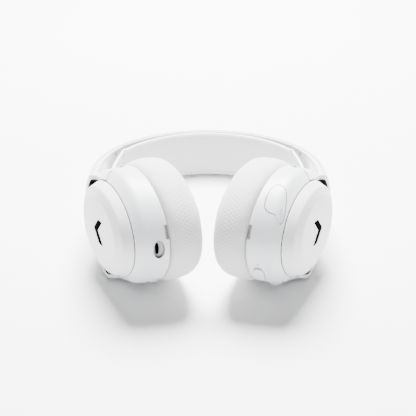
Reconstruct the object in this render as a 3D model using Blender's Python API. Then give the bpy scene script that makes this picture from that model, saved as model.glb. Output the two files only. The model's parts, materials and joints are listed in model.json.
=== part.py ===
"""Wireless gaming headset, lying on its back with the ear cushions touching the floor.

The headset is modelled in its own frame: X across the head to the wearer's left, Y up along the
head to the headband, Z to the wearer's front.  An empty tips that frame so that the cushions and
the headband rest on the floor.  Lengths inside the functions are millimetres; MM turns them to metres.
"""
import math

import bmesh
import bpy
from mathutils import Vector

MM = 0.001

# Headband arch: half an ellipse that carries on as two straight arms
ARCH_HALF_WIDTH = 85.5
ARCH_TOP = 146.6
ARCH_SPRING_LINE = 54.5
ARCH_KNEE = 43.5
ARCH_STEP = 7.5
ARM_END = 31.7
BAND_HALF_DEPTH = 18.9
COVER_WALL = 1.7
LINER_INSET = 2.0
LINER_WALL = 1.8
LINER_FIRST = 37.0
LINER_LAST = 143.0
STEEL_HALF_DEPTH = 11.0
STEEL_WALL = 0.7
# Up the arm: (degrees along the arch, or None on the straight leg; wall at the edges; wall in the middle)
ARM_WALLS = ((None, 4.1, 8.2), (None, 4.1, 8.2), (0.0, 4.4, 8.2), (7.0, 4.8, 8.0), (14.0, 5.2, 7.2),
             (18.0, 5.0, 6.0), (36.4, 3.8, 3.9))

# Suspension strap
STRAP_INSET_TOP = 4.5
STRAP_INSET_SIDE = 9.0
STRAP_WALL = 2.0
STRAP_HALF_DEPTH = 17.8
STRAP_FIRST = 32.0
STRAP_STEPS = 18
# Along a strap end: (degrees along the arch, half depth)
STRAP_END_TAPER = ((31.4, 17.8), (27.0, 17.4), (21.0, 13.0), (16.5, 9.0))

# Height slider and swivel
SLIDER_X = 81.2
SLIDER_TOP = 65.5
SLIDER_WALL = 1.4
SLIDER_HALF_DEPTH = 8.0
BOSS_HALF_WIDTH = 2.3
BOSS_HALF_DEPTH = 5.6
BOSS_HEIGHT = 8.0
PIN_RADIUS = 1.5
RUNNING_GAP = 0.3

# Ear cup: an oval stack whose axis leans towards the other cup at the bottom
CUP_CENTRE_X = 46.3
CUP_LEAN = math.radians(27.5)
# (distance outwards from the cushion seam, semi-axis up, semi-axis to the front)
SHELL_PROFILE = ((0.0, 48.0, 38.4), (4.0, 45.9, 38.6), (9.0, 43.3, 38.7), (14.0, 41.8, 38.0),
                 (17.5, 40.9, 35.4), (20.5, 39.8, 31.8))
PLATE_PROFILE = ((21.0, 39.7, 31.7), (27.4, 36.1, 28.9), (30.2, 28.7, 23.0))
PLATE_HOLLOW = ((21.0, 37.7, 29.7), (26.8, 34.3, 27.1), (28.4, 27.9, 22.2))
SHELL_WALL = 2.0
SHELL_BACK = 18.4
YOKE_RECESS_DEPTH = 3.6
YOKE_RECESS_START = 5.2

# Yoke: a band round the cup from the front pivot over the top to the back pivot
YOKE_FRONT_END = 73.0
YOKE_BACK_END = -114.0
PIVOT_FRONT = 66.0
PIVOT_BACK = -107.0
PIVOT_OUT = 13.0
CROWN_INNER = 41.0
CROWN_OUTER = 45.0

# Volume wheel: a disc that rolls outwards, its axis along the shell's wall
WHEEL_OUT = 9.7
WHEEL_DEGREES = 240.0
WHEEL_SUNK = 4.2
WHEEL_RADIUS = 6.0

# Cushion
CUSHION_DEPTH = 25.0
CUSHION_OUTER = (49.6, 40.0)
CUSHION_HOLE = (30.0, 21.0)
CUSHION_SIDES = 12
CUSHION_CORNER = 0.52

# Floor stance: the headband end dips until it touches the floor with the cushions
STANCE_TILT = math.radians(8.77)

WHITE = (0.80, 0.81, 0.82, 1.0)
BLACK = (0.02, 0.02, 0.022, 1.0)

# Finishes: colour, roughness, metallic
SATIN_WHITE = (WHITE, 0.35, 0.0)
GLOSS_WHITE = (WHITE, 0.25, 0.0)
MATT_WHITE = (WHITE, 0.5, 0.0)
WHITE_KNIT = ((0.78, 0.79, 0.80, 1.0), 0.95, 0.0)
BLACK_PLASTIC = (BLACK, 0.5, 0.0)
BLACK_CLOTH = (BLACK, 0.95, 0.0)
GREY_PLASTIC = ((0.45, 0.46, 0.47, 1.0), 0.4, 0.0)
PLAIN_STEEL = ((0.55, 0.56, 0.58, 1.0), 0.3, 1.0)
GREEN_LENS = ((0.35, 0.85, 0.30, 1.0), 0.3, 0.0)
BOARD_MASK = ((0.03, 0.18, 0.08, 1.0), 0.5, 0.0)


def clear_scene():
    for item in list(bpy.data.objects):
        bpy.data.objects.remove(item, do_unlink=True)


def make_material(name, colour, roughness, metallic):
    material = bpy.data.materials.new(name)
    material.use_nodes = True
    shader = material.node_tree.nodes["Principled BSDF"]
    shader.inputs["Base Color"].default_value = colour
    shader.inputs["Roughness"].default_value = roughness
    shader.inputs["Metallic"].default_value = metallic
    return material


def add_empty(name, place, parent=None, turn_z=0.0):
    """Make an empty at a place in its parent's frame, turned about Z."""
    empty = bpy.data.objects.new(name, None)
    bpy.context.collection.objects.link(empty)
    empty.parent = parent
    empty.location = Vector(place) * MM
    empty.rotation_euler = (0.0, 0.0, turn_z)
    return empty


def add_mesh(name, points, faces, parent, look, smooth_angle=40.0):
    """Make one closed mesh object from millimetre points in its parent's frame."""
    mesh = bpy.data.meshes.new(name)
    mesh.from_pydata([tuple(Vector(point) * MM) for point in points], [], faces)
    work = bmesh.new()
    work.from_mesh(mesh)
    bmesh.ops.remove_doubles(work, verts=work.verts, dist=1e-7)
    bmesh.ops.recalc_face_normals(work, faces=work.faces)
    work.to_mesh(mesh)
    work.free()
    mesh.shade_smooth()
    mesh.set_sharp_from_angle(angle=math.radians(smooth_angle))
    item = bpy.data.objects.new(name, mesh)
    bpy.context.collection.objects.link(item)
    item.parent = parent
    if look is None:
        item.hide_render = True
        item.display_type = "WIRE"
    else:
        item.data.materials.append(make_material(name, *look))
    return item


def skin(name, rings, parent, look, wrap=False):
    """Skin rings of equally many points; the ends are capped, or joined when wrap is true."""
    count = len(rings[0])
    points = [point for ring in rings for point in ring]
    faces = []
    spans = len(rings) if wrap else len(rings) - 1
    for row in range(spans):
        near = row * count
        far = (row + 1) % len(rings) * count
        for column in range(count):
            step = (column + 1) % count
            faces.append((near + column, near + step, far + step, far + column))
    if not wrap:
        faces.append(tuple(range(count)))
        faces.append(tuple(range(len(points) - count, len(points))))
    return add_mesh(name, points, faces, parent, look)


def cut(item, cutter, operation="DIFFERENCE"):
    modifier = item.modifiers.new("cut_" + cutter.name, "BOOLEAN")
    modifier.operation = operation
    modifier.solver = "EXACT"
    modifier.object = cutter


def box_rings(low, high):
    """Two rings that make a plain box when skinned."""
    corners = ((low[1], low[2]), (high[1], low[2]), (high[1], high[2]), (low[1], high[2]))
    return [[(x, y, z) for y, z in corners] for x in (low[0], high[0])]


def rod_rings(start, end, radius, sides=16):
    """Two rings that make a round rod from start to end when skinned."""
    axis = (Vector(end) - Vector(start)).normalized()
    across = axis.orthogonal().normalized()
    other = axis.cross(across)
    angles = [2.0 * math.pi * step / sides for step in range(sides)]
    offsets = [across * math.cos(angle) * radius + other * math.sin(angle) * radius for angle in angles]
    return [[Vector(place) + offset for offset in offsets] for place in (start, end)]


# ---------------------------------------------------------------- ear cup surfaces

def profile_at(profile, out):
    """Semi-axes of an oval profile at a distance outwards, by straight interpolation."""
    for near, far in zip(profile, profile[1:]):
        if out <= far[0]:
            break
    part = min(max((out - near[0]) / (far[0] - near[0]), 0.0), 1.0)
    return near[1] + part * (far[1] - near[1]), near[2] + part * (far[2] - near[2])


def oval_point(side, out, semi, degrees):
    angle = math.radians(degrees)
    return Vector((side * out, semi[0] * math.cos(angle), semi[1] * math.sin(angle)))


def oval_ring(side, out, semi, angles):
    return [oval_point(side, out, semi, degrees) for degrees in angles]


def oval_turned(name, side, profile, parent, look, wrap=False, steps=40):
    """An oval turning: rings from (out, semi up, semi front) triples."""
    angles = [360.0 * step / steps for step in range(steps)]
    rings = [oval_ring(side, out, (up, front), angles) for out, up, front in profile]
    return skin(name, rings, parent, look, wrap)


def shell_point(side, out, degrees, proud=0.0):
    """A point on the cup shell's outer surface, or proud of it."""
    semi = profile_at(SHELL_PROFILE, out)
    return oval_point(side, out, (semi[0] + proud, semi[1] + proud), degrees)


def shell_direction(degrees):
    """The way straight out of the shell's side wall, without its outward part."""
    angle = math.radians(degrees)
    semi = profile_at(SHELL_PROFILE, PIVOT_OUT)
    return Vector((0.0, math.cos(angle) / semi[0], math.sin(angle) / semi[1])).normalized()


def wall_plug(name, side, outline, direction, proud, depth, parent, look, grow=0.0):
    """A plug through the shell's wall: its top follows the surface, its sides run along direction."""
    middle_out = sum(out for out, _ in outline) / len(outline)
    middle_degrees = sum(degrees for _, degrees in outline) / len(outline)
    centre = shell_point(side, middle_out, middle_degrees)
    surface = [shell_point(side, out, degrees) for out, degrees in outline]
    if grow:
        surface = [point + (point - centre).normalized() * grow for point in surface]
    top = [point + direction * proud for point in surface]
    bottom = [point - direction * depth for point in surface]
    count = len(outline)
    faces = []
    for index in range(count):
        step = (index + 1) % count
        faces.append((index, step, count + step, count + index))
        faces.append((index, step, 2 * count))
        faces.append((count + index, count + step, 2 * count + 1))
    middles = [centre + direction * proud, centre - direction * depth]
    return add_mesh(name, top + bottom + middles, faces, parent, look)


def rounded_outline(out_low, out_high, degrees_low, degrees_high, corner=0.35, points=4):
    """A rounded rectangle in (out, degrees), with corners as a part of each side."""
    outline = []
    middle_out = (out_low + out_high) / 2.0
    middle_degrees = (degrees_low + degrees_high) / 2.0
    for quarter, (sign_out, sign_degrees) in enumerate(((1, 1), (-1, 1), (-1, -1), (1, -1))):
        for step in range(points):
            angle = math.pi / 2.0 * (quarter + step / (points - 1))
            reach_out = sign_out * (1.0 - corner) + corner * math.cos(angle)
            reach_degrees = sign_degrees * (1.0 - corner) + corner * math.sin(angle)
            outline.append((middle_out + (out_high - middle_out) * reach_out,
                            middle_degrees + (degrees_high - middle_degrees) * reach_degrees))
    return outline


# ---------------------------------------------------------------- headband

def arch_station(angle_or_height):
    """Place and inward direction on the outer arch: ("leg", side, y) or ("arc", degrees)."""
    if angle_or_height[0] == "leg":
        side = angle_or_height[1]
        return Vector((side * ARCH_HALF_WIDTH, angle_or_height[2], 0.0)), Vector((-side, 0.0, 0.0))
    angle = math.radians(angle_or_height[1])
    rise = ARCH_TOP - ARCH_SPRING_LINE
    place = Vector((ARCH_HALF_WIDTH * math.cos(angle), ARCH_SPRING_LINE + rise * math.sin(angle), 0.0))
    inward = -Vector((math.cos(angle) / ARCH_HALF_WIDTH, math.sin(angle) / rise, 0.0)).normalized()
    return place, inward


def arch_stations(first_degrees, last_degrees, step, legs=False):
    turn = last_degrees - first_degrees
    count = round(turn / step)
    stations = [("arc", first_degrees + turn * index / count) for index in range(count + 1)]
    if legs:
        right = [("leg", -1, ARCH_KNEE), ("leg", -1, ARM_END)]
        left = [("leg", 1, ARM_END), ("leg", 1, ARCH_KNEE)]
        stations = left + stations + right
    return stations


def band_section(station, near, far, low, high, chamfer):
    """A chamfered rectangle across the arch, from inset near to inset far and from z low to high."""
    place, inward = arch_station(station)
    corners = ((near + chamfer, low), (near, low + chamfer), (near, high - chamfer), (near + chamfer, high),
               (far - chamfer, high), (far, high - chamfer), (far, low + chamfer), (far - chamfer, low))
    return [place + inward * inset + Vector((0.0, 0.0, z)) for inset, z in corners]


def make_headband(frame):
    """The cover over the whole arch, and the liner under it, grooved for the spring band between them."""
    cover_chamfer = 0.6
    liner_chamfer = 0.5
    steel_chamfer = 0.1
    depth = BAND_HALF_DEPTH
    rings = [band_section(station, 0.0, COVER_WALL, -depth, depth, cover_chamfer)
             for station in arch_stations(0.0, 180.0, ARCH_STEP, legs=True)]
    skin("headband_cover", rings, frame, SATIN_WHITE)
    liner_depth = depth - 0.4
    liner_back = LINER_INSET + LINER_WALL
    rings = [band_section(station, LINER_INSET, liner_back, -liner_depth, liner_depth, liner_chamfer)
             for station in arch_stations(LINER_FIRST, LINER_LAST, ARCH_STEP)]
    liner = skin("headband_liner", rings, frame, SATIN_WHITE)
    groove_depth = STEEL_HALF_DEPTH + RUNNING_GAP
    groove_back = LINER_INSET + STEEL_WALL + RUNNING_GAP
    rings = [band_section(station, LINER_INSET - 0.5, groove_back, -groove_depth, groove_depth, steel_chamfer)
             for station in arch_stations(LINER_FIRST - 7.0, LINER_LAST + 7.0, ARCH_STEP)]
    cut(liner, skin("steel_groove", rings, frame, None))
    steel_back = LINER_INSET + STEEL_WALL
    rings = [band_section(station, LINER_INSET, steel_back, -STEEL_HALF_DEPTH, STEEL_HALF_DEPTH, steel_chamfer)
             for station in arch_stations(LINER_FIRST + 1.0, LINER_LAST - 1.0, ARCH_STEP)]
    skin("spring_band", rings, frame, PLAIN_STEEL)


def strap_inset(degrees):
    """How far the strap hangs inside the arch: least at the top, most where it meets its ends."""
    return STRAP_INSET_TOP + (STRAP_INSET_SIDE - STRAP_INSET_TOP) * abs(math.cos(math.radians(degrees))) ** 2


def strap_section(degrees, half_depth):
    near = strap_inset(degrees)
    return band_section(("arc", degrees), near, near + STRAP_WALL, -half_depth, half_depth, 0.4)


def make_strap(frame):
    """The knitted strap, and the moulded ends that hold it in the arms."""
    turn = 180.0 - 2.0 * STRAP_FIRST
    angles = [STRAP_FIRST + turn * step / STRAP_STEPS for step in range(STRAP_STEPS + 1)]
    skin("headband_strap", [strap_section(degrees, STRAP_HALF_DEPTH) for degrees in angles], frame,
         WHITE_KNIT)
    for side, label in ((1, "left"), (-1, "right")):
        rings = []
        for degrees, half_depth in STRAP_END_TAPER:
            place = degrees if side > 0 else 180.0 - degrees
            rings.append(strap_section(place, half_depth))
        skin("strap_end_" + label, rings, frame, MATT_WHITE)


def arm_section(station, edge, middle, half_depth):
    """An arm's inner half: thin at its front and back edges and thicker along the middle."""
    place, inward = arch_station(station)
    near = LINER_INSET
    corners = ((near, -half_depth), (near, half_depth), (edge, half_depth), (middle, half_depth * 0.55),
               (middle, -half_depth * 0.55), (edge, -half_depth))
    return [place + inward * inset + Vector((0.0, 0.0, z)) for inset, z in corners]


def make_arm(frame, side, label):
    """An arm with a slot for the slider, a pocket for its boss and a blind screw hole on its inner face."""
    half = BAND_HALF_DEPTH - 0.4
    stations = [("leg", side, ARM_END), ("leg", side, ARCH_KNEE)]
    stations += [("arc", degrees if side > 0 else 180.0 - degrees) for degrees, _, _ in ARM_WALLS[2:]]
    rings = [arm_section(station, edge, middle, half)
             for station, (_, edge, middle) in zip(stations, ARM_WALLS)]
    arm = skin("arm_" + label, rings, frame, GLOSS_WHITE)
    gap = RUNNING_GAP
    slot = skin("slider_slot_" + label,
                box_rings((side * SLIDER_X - SLIDER_WALL / 2 - gap, ARM_END - 2.0, -SLIDER_HALF_DEPTH - gap),
                          (side * SLIDER_X + SLIDER_WALL / 2 + gap, SLIDER_TOP + 2.0, SLIDER_HALF_DEPTH + gap)),
                frame, None)
    cut(arm, slot)
    pocket_width = BOSS_HALF_WIDTH + gap
    pocket_depth = BOSS_HALF_DEPTH + 0.4
    pocket_low = (side * SLIDER_X - pocket_width, ARM_END - 2.0, -pocket_depth)
    pocket_high = (side * SLIDER_X + pocket_width, ARM_END + BOSS_HEIGHT + gap, pocket_depth)
    cut(arm, skin("boss_pocket_" + label, box_rings(pocket_low, pocket_high), frame, None))
    screw_degrees = 12.5
    screw_radius = 1.0
    screw_inset = 6.2
    place, inward = arch_station(("arc", screw_degrees if side > 0 else 180.0 - screw_degrees))
    start = place + inward * screw_inset
    hole = skin("arm_screw_hole_" + label,
                rod_rings(start - inward * 2.2, start + inward * 6.0, screw_radius + gap, 12), frame, None)
    cut(arm, hole)
    skin("arm_screw_" + label, rod_rings(start - inward * 1.9, start + inward * 0.6, screw_radius, 12), frame,
         PLAIN_STEEL)


def make_slider(frame, side, label):
    """The steel blade with its boss at the bottom, and the swivel pin that hangs from the boss."""
    slider = add_empty("slider_frame_" + label, (side * SLIDER_X, ARM_END, 0.0), frame)
    half = SLIDER_WALL / 2
    top = SLIDER_TOP - ARM_END
    blade = skin("slider_" + label,
                 box_rings((-half, 0.4, -SLIDER_HALF_DEPTH), (half, top, SLIDER_HALF_DEPTH)), slider,
                 PLAIN_STEEL)
    boss_low = (-BOSS_HALF_WIDTH, 0.4, -BOSS_HALF_DEPTH)
    boss_high = (BOSS_HALF_WIDTH, BOSS_HEIGHT, BOSS_HALF_DEPTH)
    cut(blade, skin("slider_boss_" + label, box_rings(boss_low, boss_high), slider, None), "UNION")
    seat = rod_rings((0, -1.0, 0), (0, 6.5, 0), PIN_RADIUS + RUNNING_GAP)
    cut(blade, skin("slider_pin_seat_" + label, seat, slider, None))
    skin("swivel_pin_" + label, rod_rings((0, -3.6, 0), (0, 6.0, 0), PIN_RADIUS), slider, PLAIN_STEEL)
    return slider


# ---------------------------------------------------------------- yoke and ear cup

def smooth_step(value):
    value = min(max(value, 0.0), 1.0)
    return value * value * (3.0 - 2.0 * value)


def crown_part(degrees):
    """0 along the yoke's flush ends, rising to 1 round its raised crown."""
    middle = (YOKE_FRONT_END + YOKE_BACK_END) / 2.0
    return smooth_step((84.0 - abs(degrees - middle)) / 26.0)


def yoke_section(side, degrees):
    crown = crown_part(degrees)
    start = 6.4 + 5.6 * crown
    end = 19.0 + 4.2 * max(0.0, 2.0 * crown - 1.0)
    section = []
    for inner in (True, False):
        outs = (start, (start + 14.0) / 2.0, 14.0 + 1.5 * crown, 17.2 + 1.8 * crown, end)
        for out in outs if inner else reversed(outs):
            up, front = profile_at(SHELL_PROFILE, min(out, 20.5))
            if inner:
                up = (1 - crown) * (up - YOKE_RECESS_DEPTH + 0.7) + crown * CROWN_INNER
                front = (1 - crown) * (front - YOKE_RECESS_DEPTH + 0.7) + crown * (CROWN_INNER - 3.6)
            else:
                up = (1 - crown) * up + crown * CROWN_OUTER
                front = (1 - crown) * front + crown * (CROWN_OUTER - 4.0)
            section.append(oval_point(side, out, (up, front), degrees))
    return section


def make_yoke(frame, cup_frame, side, label):
    """The band round the cup, cut level under the arm and bored for the swivel pin."""
    count = 34
    angles = [YOKE_BACK_END + (YOKE_FRONT_END - YOKE_BACK_END) * step / count for step in range(count + 1)]
    rings = [yoke_section(side, degrees) for degrees in angles]
    yoke = skin("yoke_" + label, rings, cup_frame, SATIN_WHITE)
    level_low = (side * SLIDER_X - 30.0, ARM_END - RUNNING_GAP, -60.0)
    level_high = (side * SLIDER_X + 30.0, 90.0, 60.0)
    cut(yoke, skin("arm_level_" + label, box_rings(level_low, level_high), frame, None))
    bore = skin("swivel_bore_" + label,
                rod_rings((side * SLIDER_X, ARM_END - 12.0, 0), (side * SLIDER_X, ARM_END + 4.0, 0),
                          PIN_RADIUS + RUNNING_GAP), frame, None)
    cut(yoke, bore)
    return yoke


def make_shell(cup_frame, side, label):
    """A moulded bowl with a recess for the yoke, open towards the cushion."""
    angles = [-180.0 + 7.5 * step for step in range(48)]
    edges = (YOKE_BACK_END - 2.3, YOKE_BACK_END - 1.9, YOKE_FRONT_END + 1.9, YOKE_FRONT_END + 2.3)
    spaced = [degrees for degrees in angles if min(abs(degrees - edge) for edge in edges) > 2.0]
    angles = sorted(spaced + list(edges))
    outs = (0.0, 2.0, YOKE_RECESS_START, YOKE_RECESS_START + 0.3, 9.0, 14.0, 17.5, 20.5)

    def recess(out, degrees, margin):
        inside = YOKE_BACK_END - 2.1 - margin < degrees < YOKE_FRONT_END + 2.1 + margin
        return YOKE_RECESS_DEPTH if inside and out > YOKE_RECESS_START + 0.1 - margin * 0.1 else 0.0

    def ring(out, wall, margin):
        up, front = profile_at(SHELL_PROFILE, out)
        points = []
        for degrees in angles:
            less = wall + recess(out, degrees, margin)
            points.append(oval_point(side, out, (up - less, front - less), degrees))
        return points

    outer = [ring(out, 0.0, 0.0) for out in reversed(outs)]
    inner = [ring(out, SHELL_WALL, 9.0) for out in (0.0, 3.4, 4.8, 9.0, 14.0, 17.5, SHELL_BACK)]
    shell = skin("cup_shell_" + label, outer + inner, cup_frame, SATIN_WHITE)
    notch_outline = ((-1.0, 156.0), (2.0, 156.0), (2.0, 170.0), (-1.0, 170.0))
    notch = wall_plug("release_notch_" + label, side, notch_outline, shell_direction(163.0), 2.0, 1.4, cup_frame,
                      None)
    cut(shell, notch)
    return shell


def add_pivot_pins(cup_frame, side, label, shell, yoke):
    """Two pins on the tilt axis, each through the yoke's end and into the shell's wall."""
    front = shell_point(side, PIVOT_OUT, PIVOT_FRONT)
    back = shell_point(side, PIVOT_OUT, PIVOT_BACK)
    axis = (front - back).normalized()
    for name, surface, outward in (("front", front, axis), ("back", back, -axis)):
        bore = rod_rings(surface + outward * 3.0, surface - outward * 10.0, PIN_RADIUS + RUNNING_GAP)
        hole = skin("pivot_hole_" + name + "_" + label, bore, cup_frame, None)
        cut(shell, hole)
        cut(yoke, hole)
        pin = rod_rings(surface - outward * 0.8, surface - outward * 7.4, PIN_RADIUS)
        skin("pivot_pin_" + name + "_" + label, pin, cup_frame, PLAIN_STEEL)


def make_plate(cup_frame, side, label):
    """The bevelled outer plate, hollow behind, with a shallow seat for its mark."""
    outer = list(reversed(PLATE_PROFILE))
    profile = outer + list(PLATE_HOLLOW)
    plate = oval_turned("speaker_plate_" + label, side, profile, cup_frame, SATIN_WHITE)
    face = PLATE_PROFILE[-1][0]
    outline = mark_outline(0.0)
    seat = skin("mark_seat_" + label,
                [[(side * (face + lift), up, front) for up, front in mark_outline(RUNNING_GAP)]
                 for lift in (-0.9, 0.6)], cup_frame, None)
    cut(plate, seat)
    skin("plate_mark_" + label,
         [[(side * (face + lift), up, front) for up, front in outline] for lift in (-0.6, 0.05)], cup_frame,
         BLACK_PLASTIC)


def mark_outline(grow):
    """A plain upright chevron, (up, front) points."""
    half_width = 8.5
    rise = 7.0
    stroke = 5.6
    outline = []
    outline.append((rise + stroke / 2 + grow * 1.4, 0.0))
    outline.append((-rise + stroke / 2 + grow, half_width + grow))
    outline.append((-rise - stroke / 2 - grow * 3.4, half_width + grow))
    outline.append((rise - stroke / 2 - grow * 1.4, 0.0))
    outline.append((-rise - stroke / 2 - grow * 3.4, -half_width - grow))
    outline.append((-rise + stroke / 2 + grow, -half_width - grow))
    return outline


def make_cushion(cup_frame, side, label):
    """A plump oval ring of knit-covered foam."""
    outer = CUSHION_OUTER
    hole = CUSHION_HOLE
    profile = []
    for step in range(CUSHION_SIDES):
        angle = 2.0 * math.pi * step / CUSHION_SIDES
        across = math.copysign(abs(math.cos(angle)) ** CUSHION_CORNER, math.cos(angle))
        along = math.copysign(abs(math.sin(angle)) ** CUSHION_CORNER, math.sin(angle))
        out = -CUSHION_DEPTH / 2.0 - 0.35 + (CUSHION_DEPTH / 2.0 - RUNNING_GAP) * along
        up = (outer[0] + hole[0]) / 2.0 + (outer[0] - hole[0]) / 2.0 * across
        front = (outer[1] + hole[1]) / 2.0 + (outer[1] - hole[1]) / 2.0 * across
        profile.append((out, up, front))
    oval_turned("cushion_" + label, side, profile, cup_frame, WHITE_KNIT, wrap=True, steps=40)
    ring = ((0.1, 44.8, 35.6), (1.6, 44.8, 35.6), (1.6, 31.2, 22.2), (0.1, 31.2, 22.2))
    oval_turned("cushion_ring_" + label, side, ring, cup_frame, BLACK_PLASTIC, wrap=True)
    cloth = ((0.5, 30.8, 21.8), (1.1, 30.8, 21.8))
    oval_turned("speaker_cloth_" + label, side, cloth, cup_frame, BLACK_CLOTH)


def make_driver(cup_frame, side, label):
    """Baffle, and the loudspeaker that sits behind its hole: frame, magnet and diaphragm."""
    round_hole = 20.5
    baffle = ((1.9, 44.0, 34.8), (3.1, 44.0, 34.8), (3.1, round_hole, round_hole),
              (1.9, round_hole, round_hole))
    oval_turned("baffle_" + label, side, baffle, cup_frame, BLACK_PLASTIC, wrap=True)
    frame_profile = ((3.4, 23.0), (4.9, 23.0), (5.2, 20.6), (9.0, 17.0), (9.0, 12.6), (7.8, 12.6), (7.8, 16.0),
                     (4.9, 19.5), (3.4, 19.5))
    rings = [(out, radius, radius) for out, radius in frame_profile]
    oval_turned("driver_frame_" + label, side, rings, cup_frame, GREY_PLASTIC, wrap=True, steps=24)
    magnet = ((6.2, 12.2, 12.2), (10.4, 12.2, 12.2))
    oval_turned("driver_magnet_" + label, side, magnet, cup_frame, PLAIN_STEEL, steps=32)
    dome = ((2.7, 1.0, 1.0), (3.4, 10.0, 10.0), (4.1, 19.1, 19.1), (4.5, 19.1, 19.1), (3.9, 10.0, 10.0),
            (3.1, 1.0, 1.0))
    oval_turned("driver_diaphragm_" + label, side, dome, cup_frame, GREY_PLASTIC, steps=32)
    board = ((16.5, 30.0, 22.0), (17.7, 30.0, 22.0))
    oval_turned("circuit_board_" + label, side, board, cup_frame, BOARD_MASK, steps=32)


def make_cup(cup_frame, side, label, yoke):
    shell = make_shell(cup_frame, side, label)
    add_pivot_pins(cup_frame, side, label, shell, yoke)
    make_plate(cup_frame, side, label)
    make_cushion(cup_frame, side, label)
    make_driver(cup_frame, side, label)
    return shell


def add_button(name, cup_frame, side, label, shell, outline, proud, look, depth=3.4):
    """A plug that stands proud of the shell, in a hole a little larger than itself."""
    middle = sum(degrees for _, degrees in outline) / len(outline)
    direction = shell_direction(middle)
    hole = wall_plug(name + "_hole_" + label, side, outline, direction, 4.0, 6.0, cup_frame, None, grow=0.4)
    cut(shell, hole)
    return wall_plug(name, side, outline, direction, proud, depth, cup_frame, look)


def make_right_details(cup_frame, side, shell):
    add_button("power_button", cup_frame, side, "right", shell, rounded_outline(1.6, 5.4, 228.0, 237.0), 0.9,
               SATIN_WHITE, depth=2.0)
    add_button("status_light", cup_frame, side, "right", shell, rounded_outline(6.6, 8.2, 237.0, 241.0), 0.5,
               GREEN_LENS, depth=2.4)
    recess = rounded_outline(2.9, 10.1, 170.6, 189.4, corner=0.98, points=6)
    direction = shell_direction(180.0)
    hole = wall_plug("usb_recess", side, recess, direction, 4.0, 2.8, cup_frame, None)
    socket_body = rounded_outline(4.0, 9.0, 172.6, 187.4, corner=0.9, points=5)
    tunnel = wall_plug("usb_tunnel", side, socket_body, direction, 4.0, 12.0, cup_frame, None, grow=0.35)
    cut(shell, tunnel)
    cut(shell, hole)
    socket = wall_plug("usb_socket", side, socket_body, direction, -1.4, 8.4, cup_frame, BLACK_PLASTIC)
    mouth_outline = rounded_outline(5.2, 7.8, 174.2, 185.8, corner=0.9, points=5)
    mouth = wall_plug("usb_mouth", side, mouth_outline, direction, 3.0, 6.4, cup_frame, None)
    cut(socket, mouth)
    cell = box_rings((side * 11.4, -17.0, -12.5), (side * 15.9, 19.0, 12.5))
    skin("battery", cell, cup_frame, GREY_PLASTIC)


def wheel_rings(profile, steps=28):
    """Rings about the wheel frame's Z axis, from (height, radius) pairs."""
    angles = [2.0 * math.pi * step / steps for step in range(steps)]
    return [[(radius * math.cos(angle), radius * math.sin(angle), height) for angle in angles]
            for height, radius in profile]


def make_left_details(cup_frame, side, shell):
    mute = ((4.4, 202.0), (8.6, 203.5), (9.0, 209.0), (7.8, 222.0), (6.4, 225.0), (3.8, 219.0), (3.2, 208.0))
    add_button("mute_button", cup_frame, side, "left", shell, mute, 1.1, SATIN_WHITE)
    wheel_frame = add_empty("wheel_frame", (0.0, 0.0, 0.0), cup_frame)
    outward = shell_direction(WHEEL_DEGREES)
    wheel_frame.location = (shell_point(side, WHEEL_OUT, WHEEL_DEGREES) - outward * WHEEL_SUNK) * MM
    wheel_frame.rotation_euler = (math.atan2(outward.z, outward.y), 0.0, 0.0)
    skin("volume_wheel", wheel_rings(((-1.5, WHEEL_RADIUS - 0.6), (-1.0, WHEEL_RADIUS), (1.0, WHEEL_RADIUS),
                                      (1.5, WHEEL_RADIUS - 0.6))), wheel_frame, MATT_WHITE)
    slot_radius = WHEEL_RADIUS + 0.4
    cut(shell, skin("wheel_slot", wheel_rings(((-1.9, slot_radius), (1.9, slot_radius))), wheel_frame, None))
    cap = ((5.9, 118.0), (7.6, 114.6), (10.6, 114.4), (13.8, 117.0), (16.4, 124.0), (18.6, 138.0),
           (19.0, 146.0), (17.8, 151.0), (15.6, 147.5), (13.6, 144.3), (11.0, 143.8), (8.2, 142.0),
           (6.1, 137.0), (5.3, 127.0))
    direction = shell_direction(130.0)
    hole = wall_plug("mic_pocket", side, cap, direction, 4.0, 5.0, cup_frame, None, grow=0.45)
    cut(shell, hole)
    wall_plug("mic_cap", side, cap, direction, 0.0, 2.4, cup_frame, SATIN_WHITE)
    middle = shell_point(side, 13.2, 130.0)
    boom = rod_rings(middle - direction * 4.2, middle - direction * 52.0, 2.1)
    skin("mic_boom", boom, cup_frame, BLACK_PLASTIC)


def stand_on_floor(root):
    """Tip the headset back, then put its lowest point at z = 0 and its middle over the origin."""
    root.rotation_euler = (-STANCE_TILT, 0.0, 0.0)
    bpy.context.view_layer.update()
    graph = bpy.context.evaluated_depsgraph_get()
    low = [math.inf] * 3
    high = [-math.inf] * 3
    for item in bpy.data.objects:
        if item.type != "MESH" or item.hide_render:
            continue
        evaluated = item.evaluated_get(graph)
        for vertex in evaluated.data.vertices:
            place = evaluated.matrix_world @ vertex.co
            for axis in range(3):
                low[axis] = min(low[axis], place[axis])
                high[axis] = max(high[axis], place[axis])
    root.location = (-(low[0] + high[0]) / 2.0, -(low[1] + high[1]) / 2.0, -low[2])
    bpy.context.view_layer.update()


def main():
    clear_scene()
    root = add_empty("headset_frame", (0.0, 0.0, 0.0))
    make_headband(root)
    make_strap(root)
    for side, label in ((1, "left"), (-1, "right")):
        make_arm(root, side, label)
        make_slider(root, side, label)
        cup_frame = add_empty("cup_frame_" + label, (side * CUP_CENTRE_X, 0.0, 0.0), root, -side * CUP_LEAN)
        yoke = make_yoke(root, cup_frame, side, label)
        shell = make_cup(cup_frame, side, label, yoke)
        if side > 0:
            make_left_details(cup_frame, side, shell)
        else:
            make_right_details(cup_frame, side, shell)
    stand_on_floor(root)


main()
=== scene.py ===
import json
import math

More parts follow.
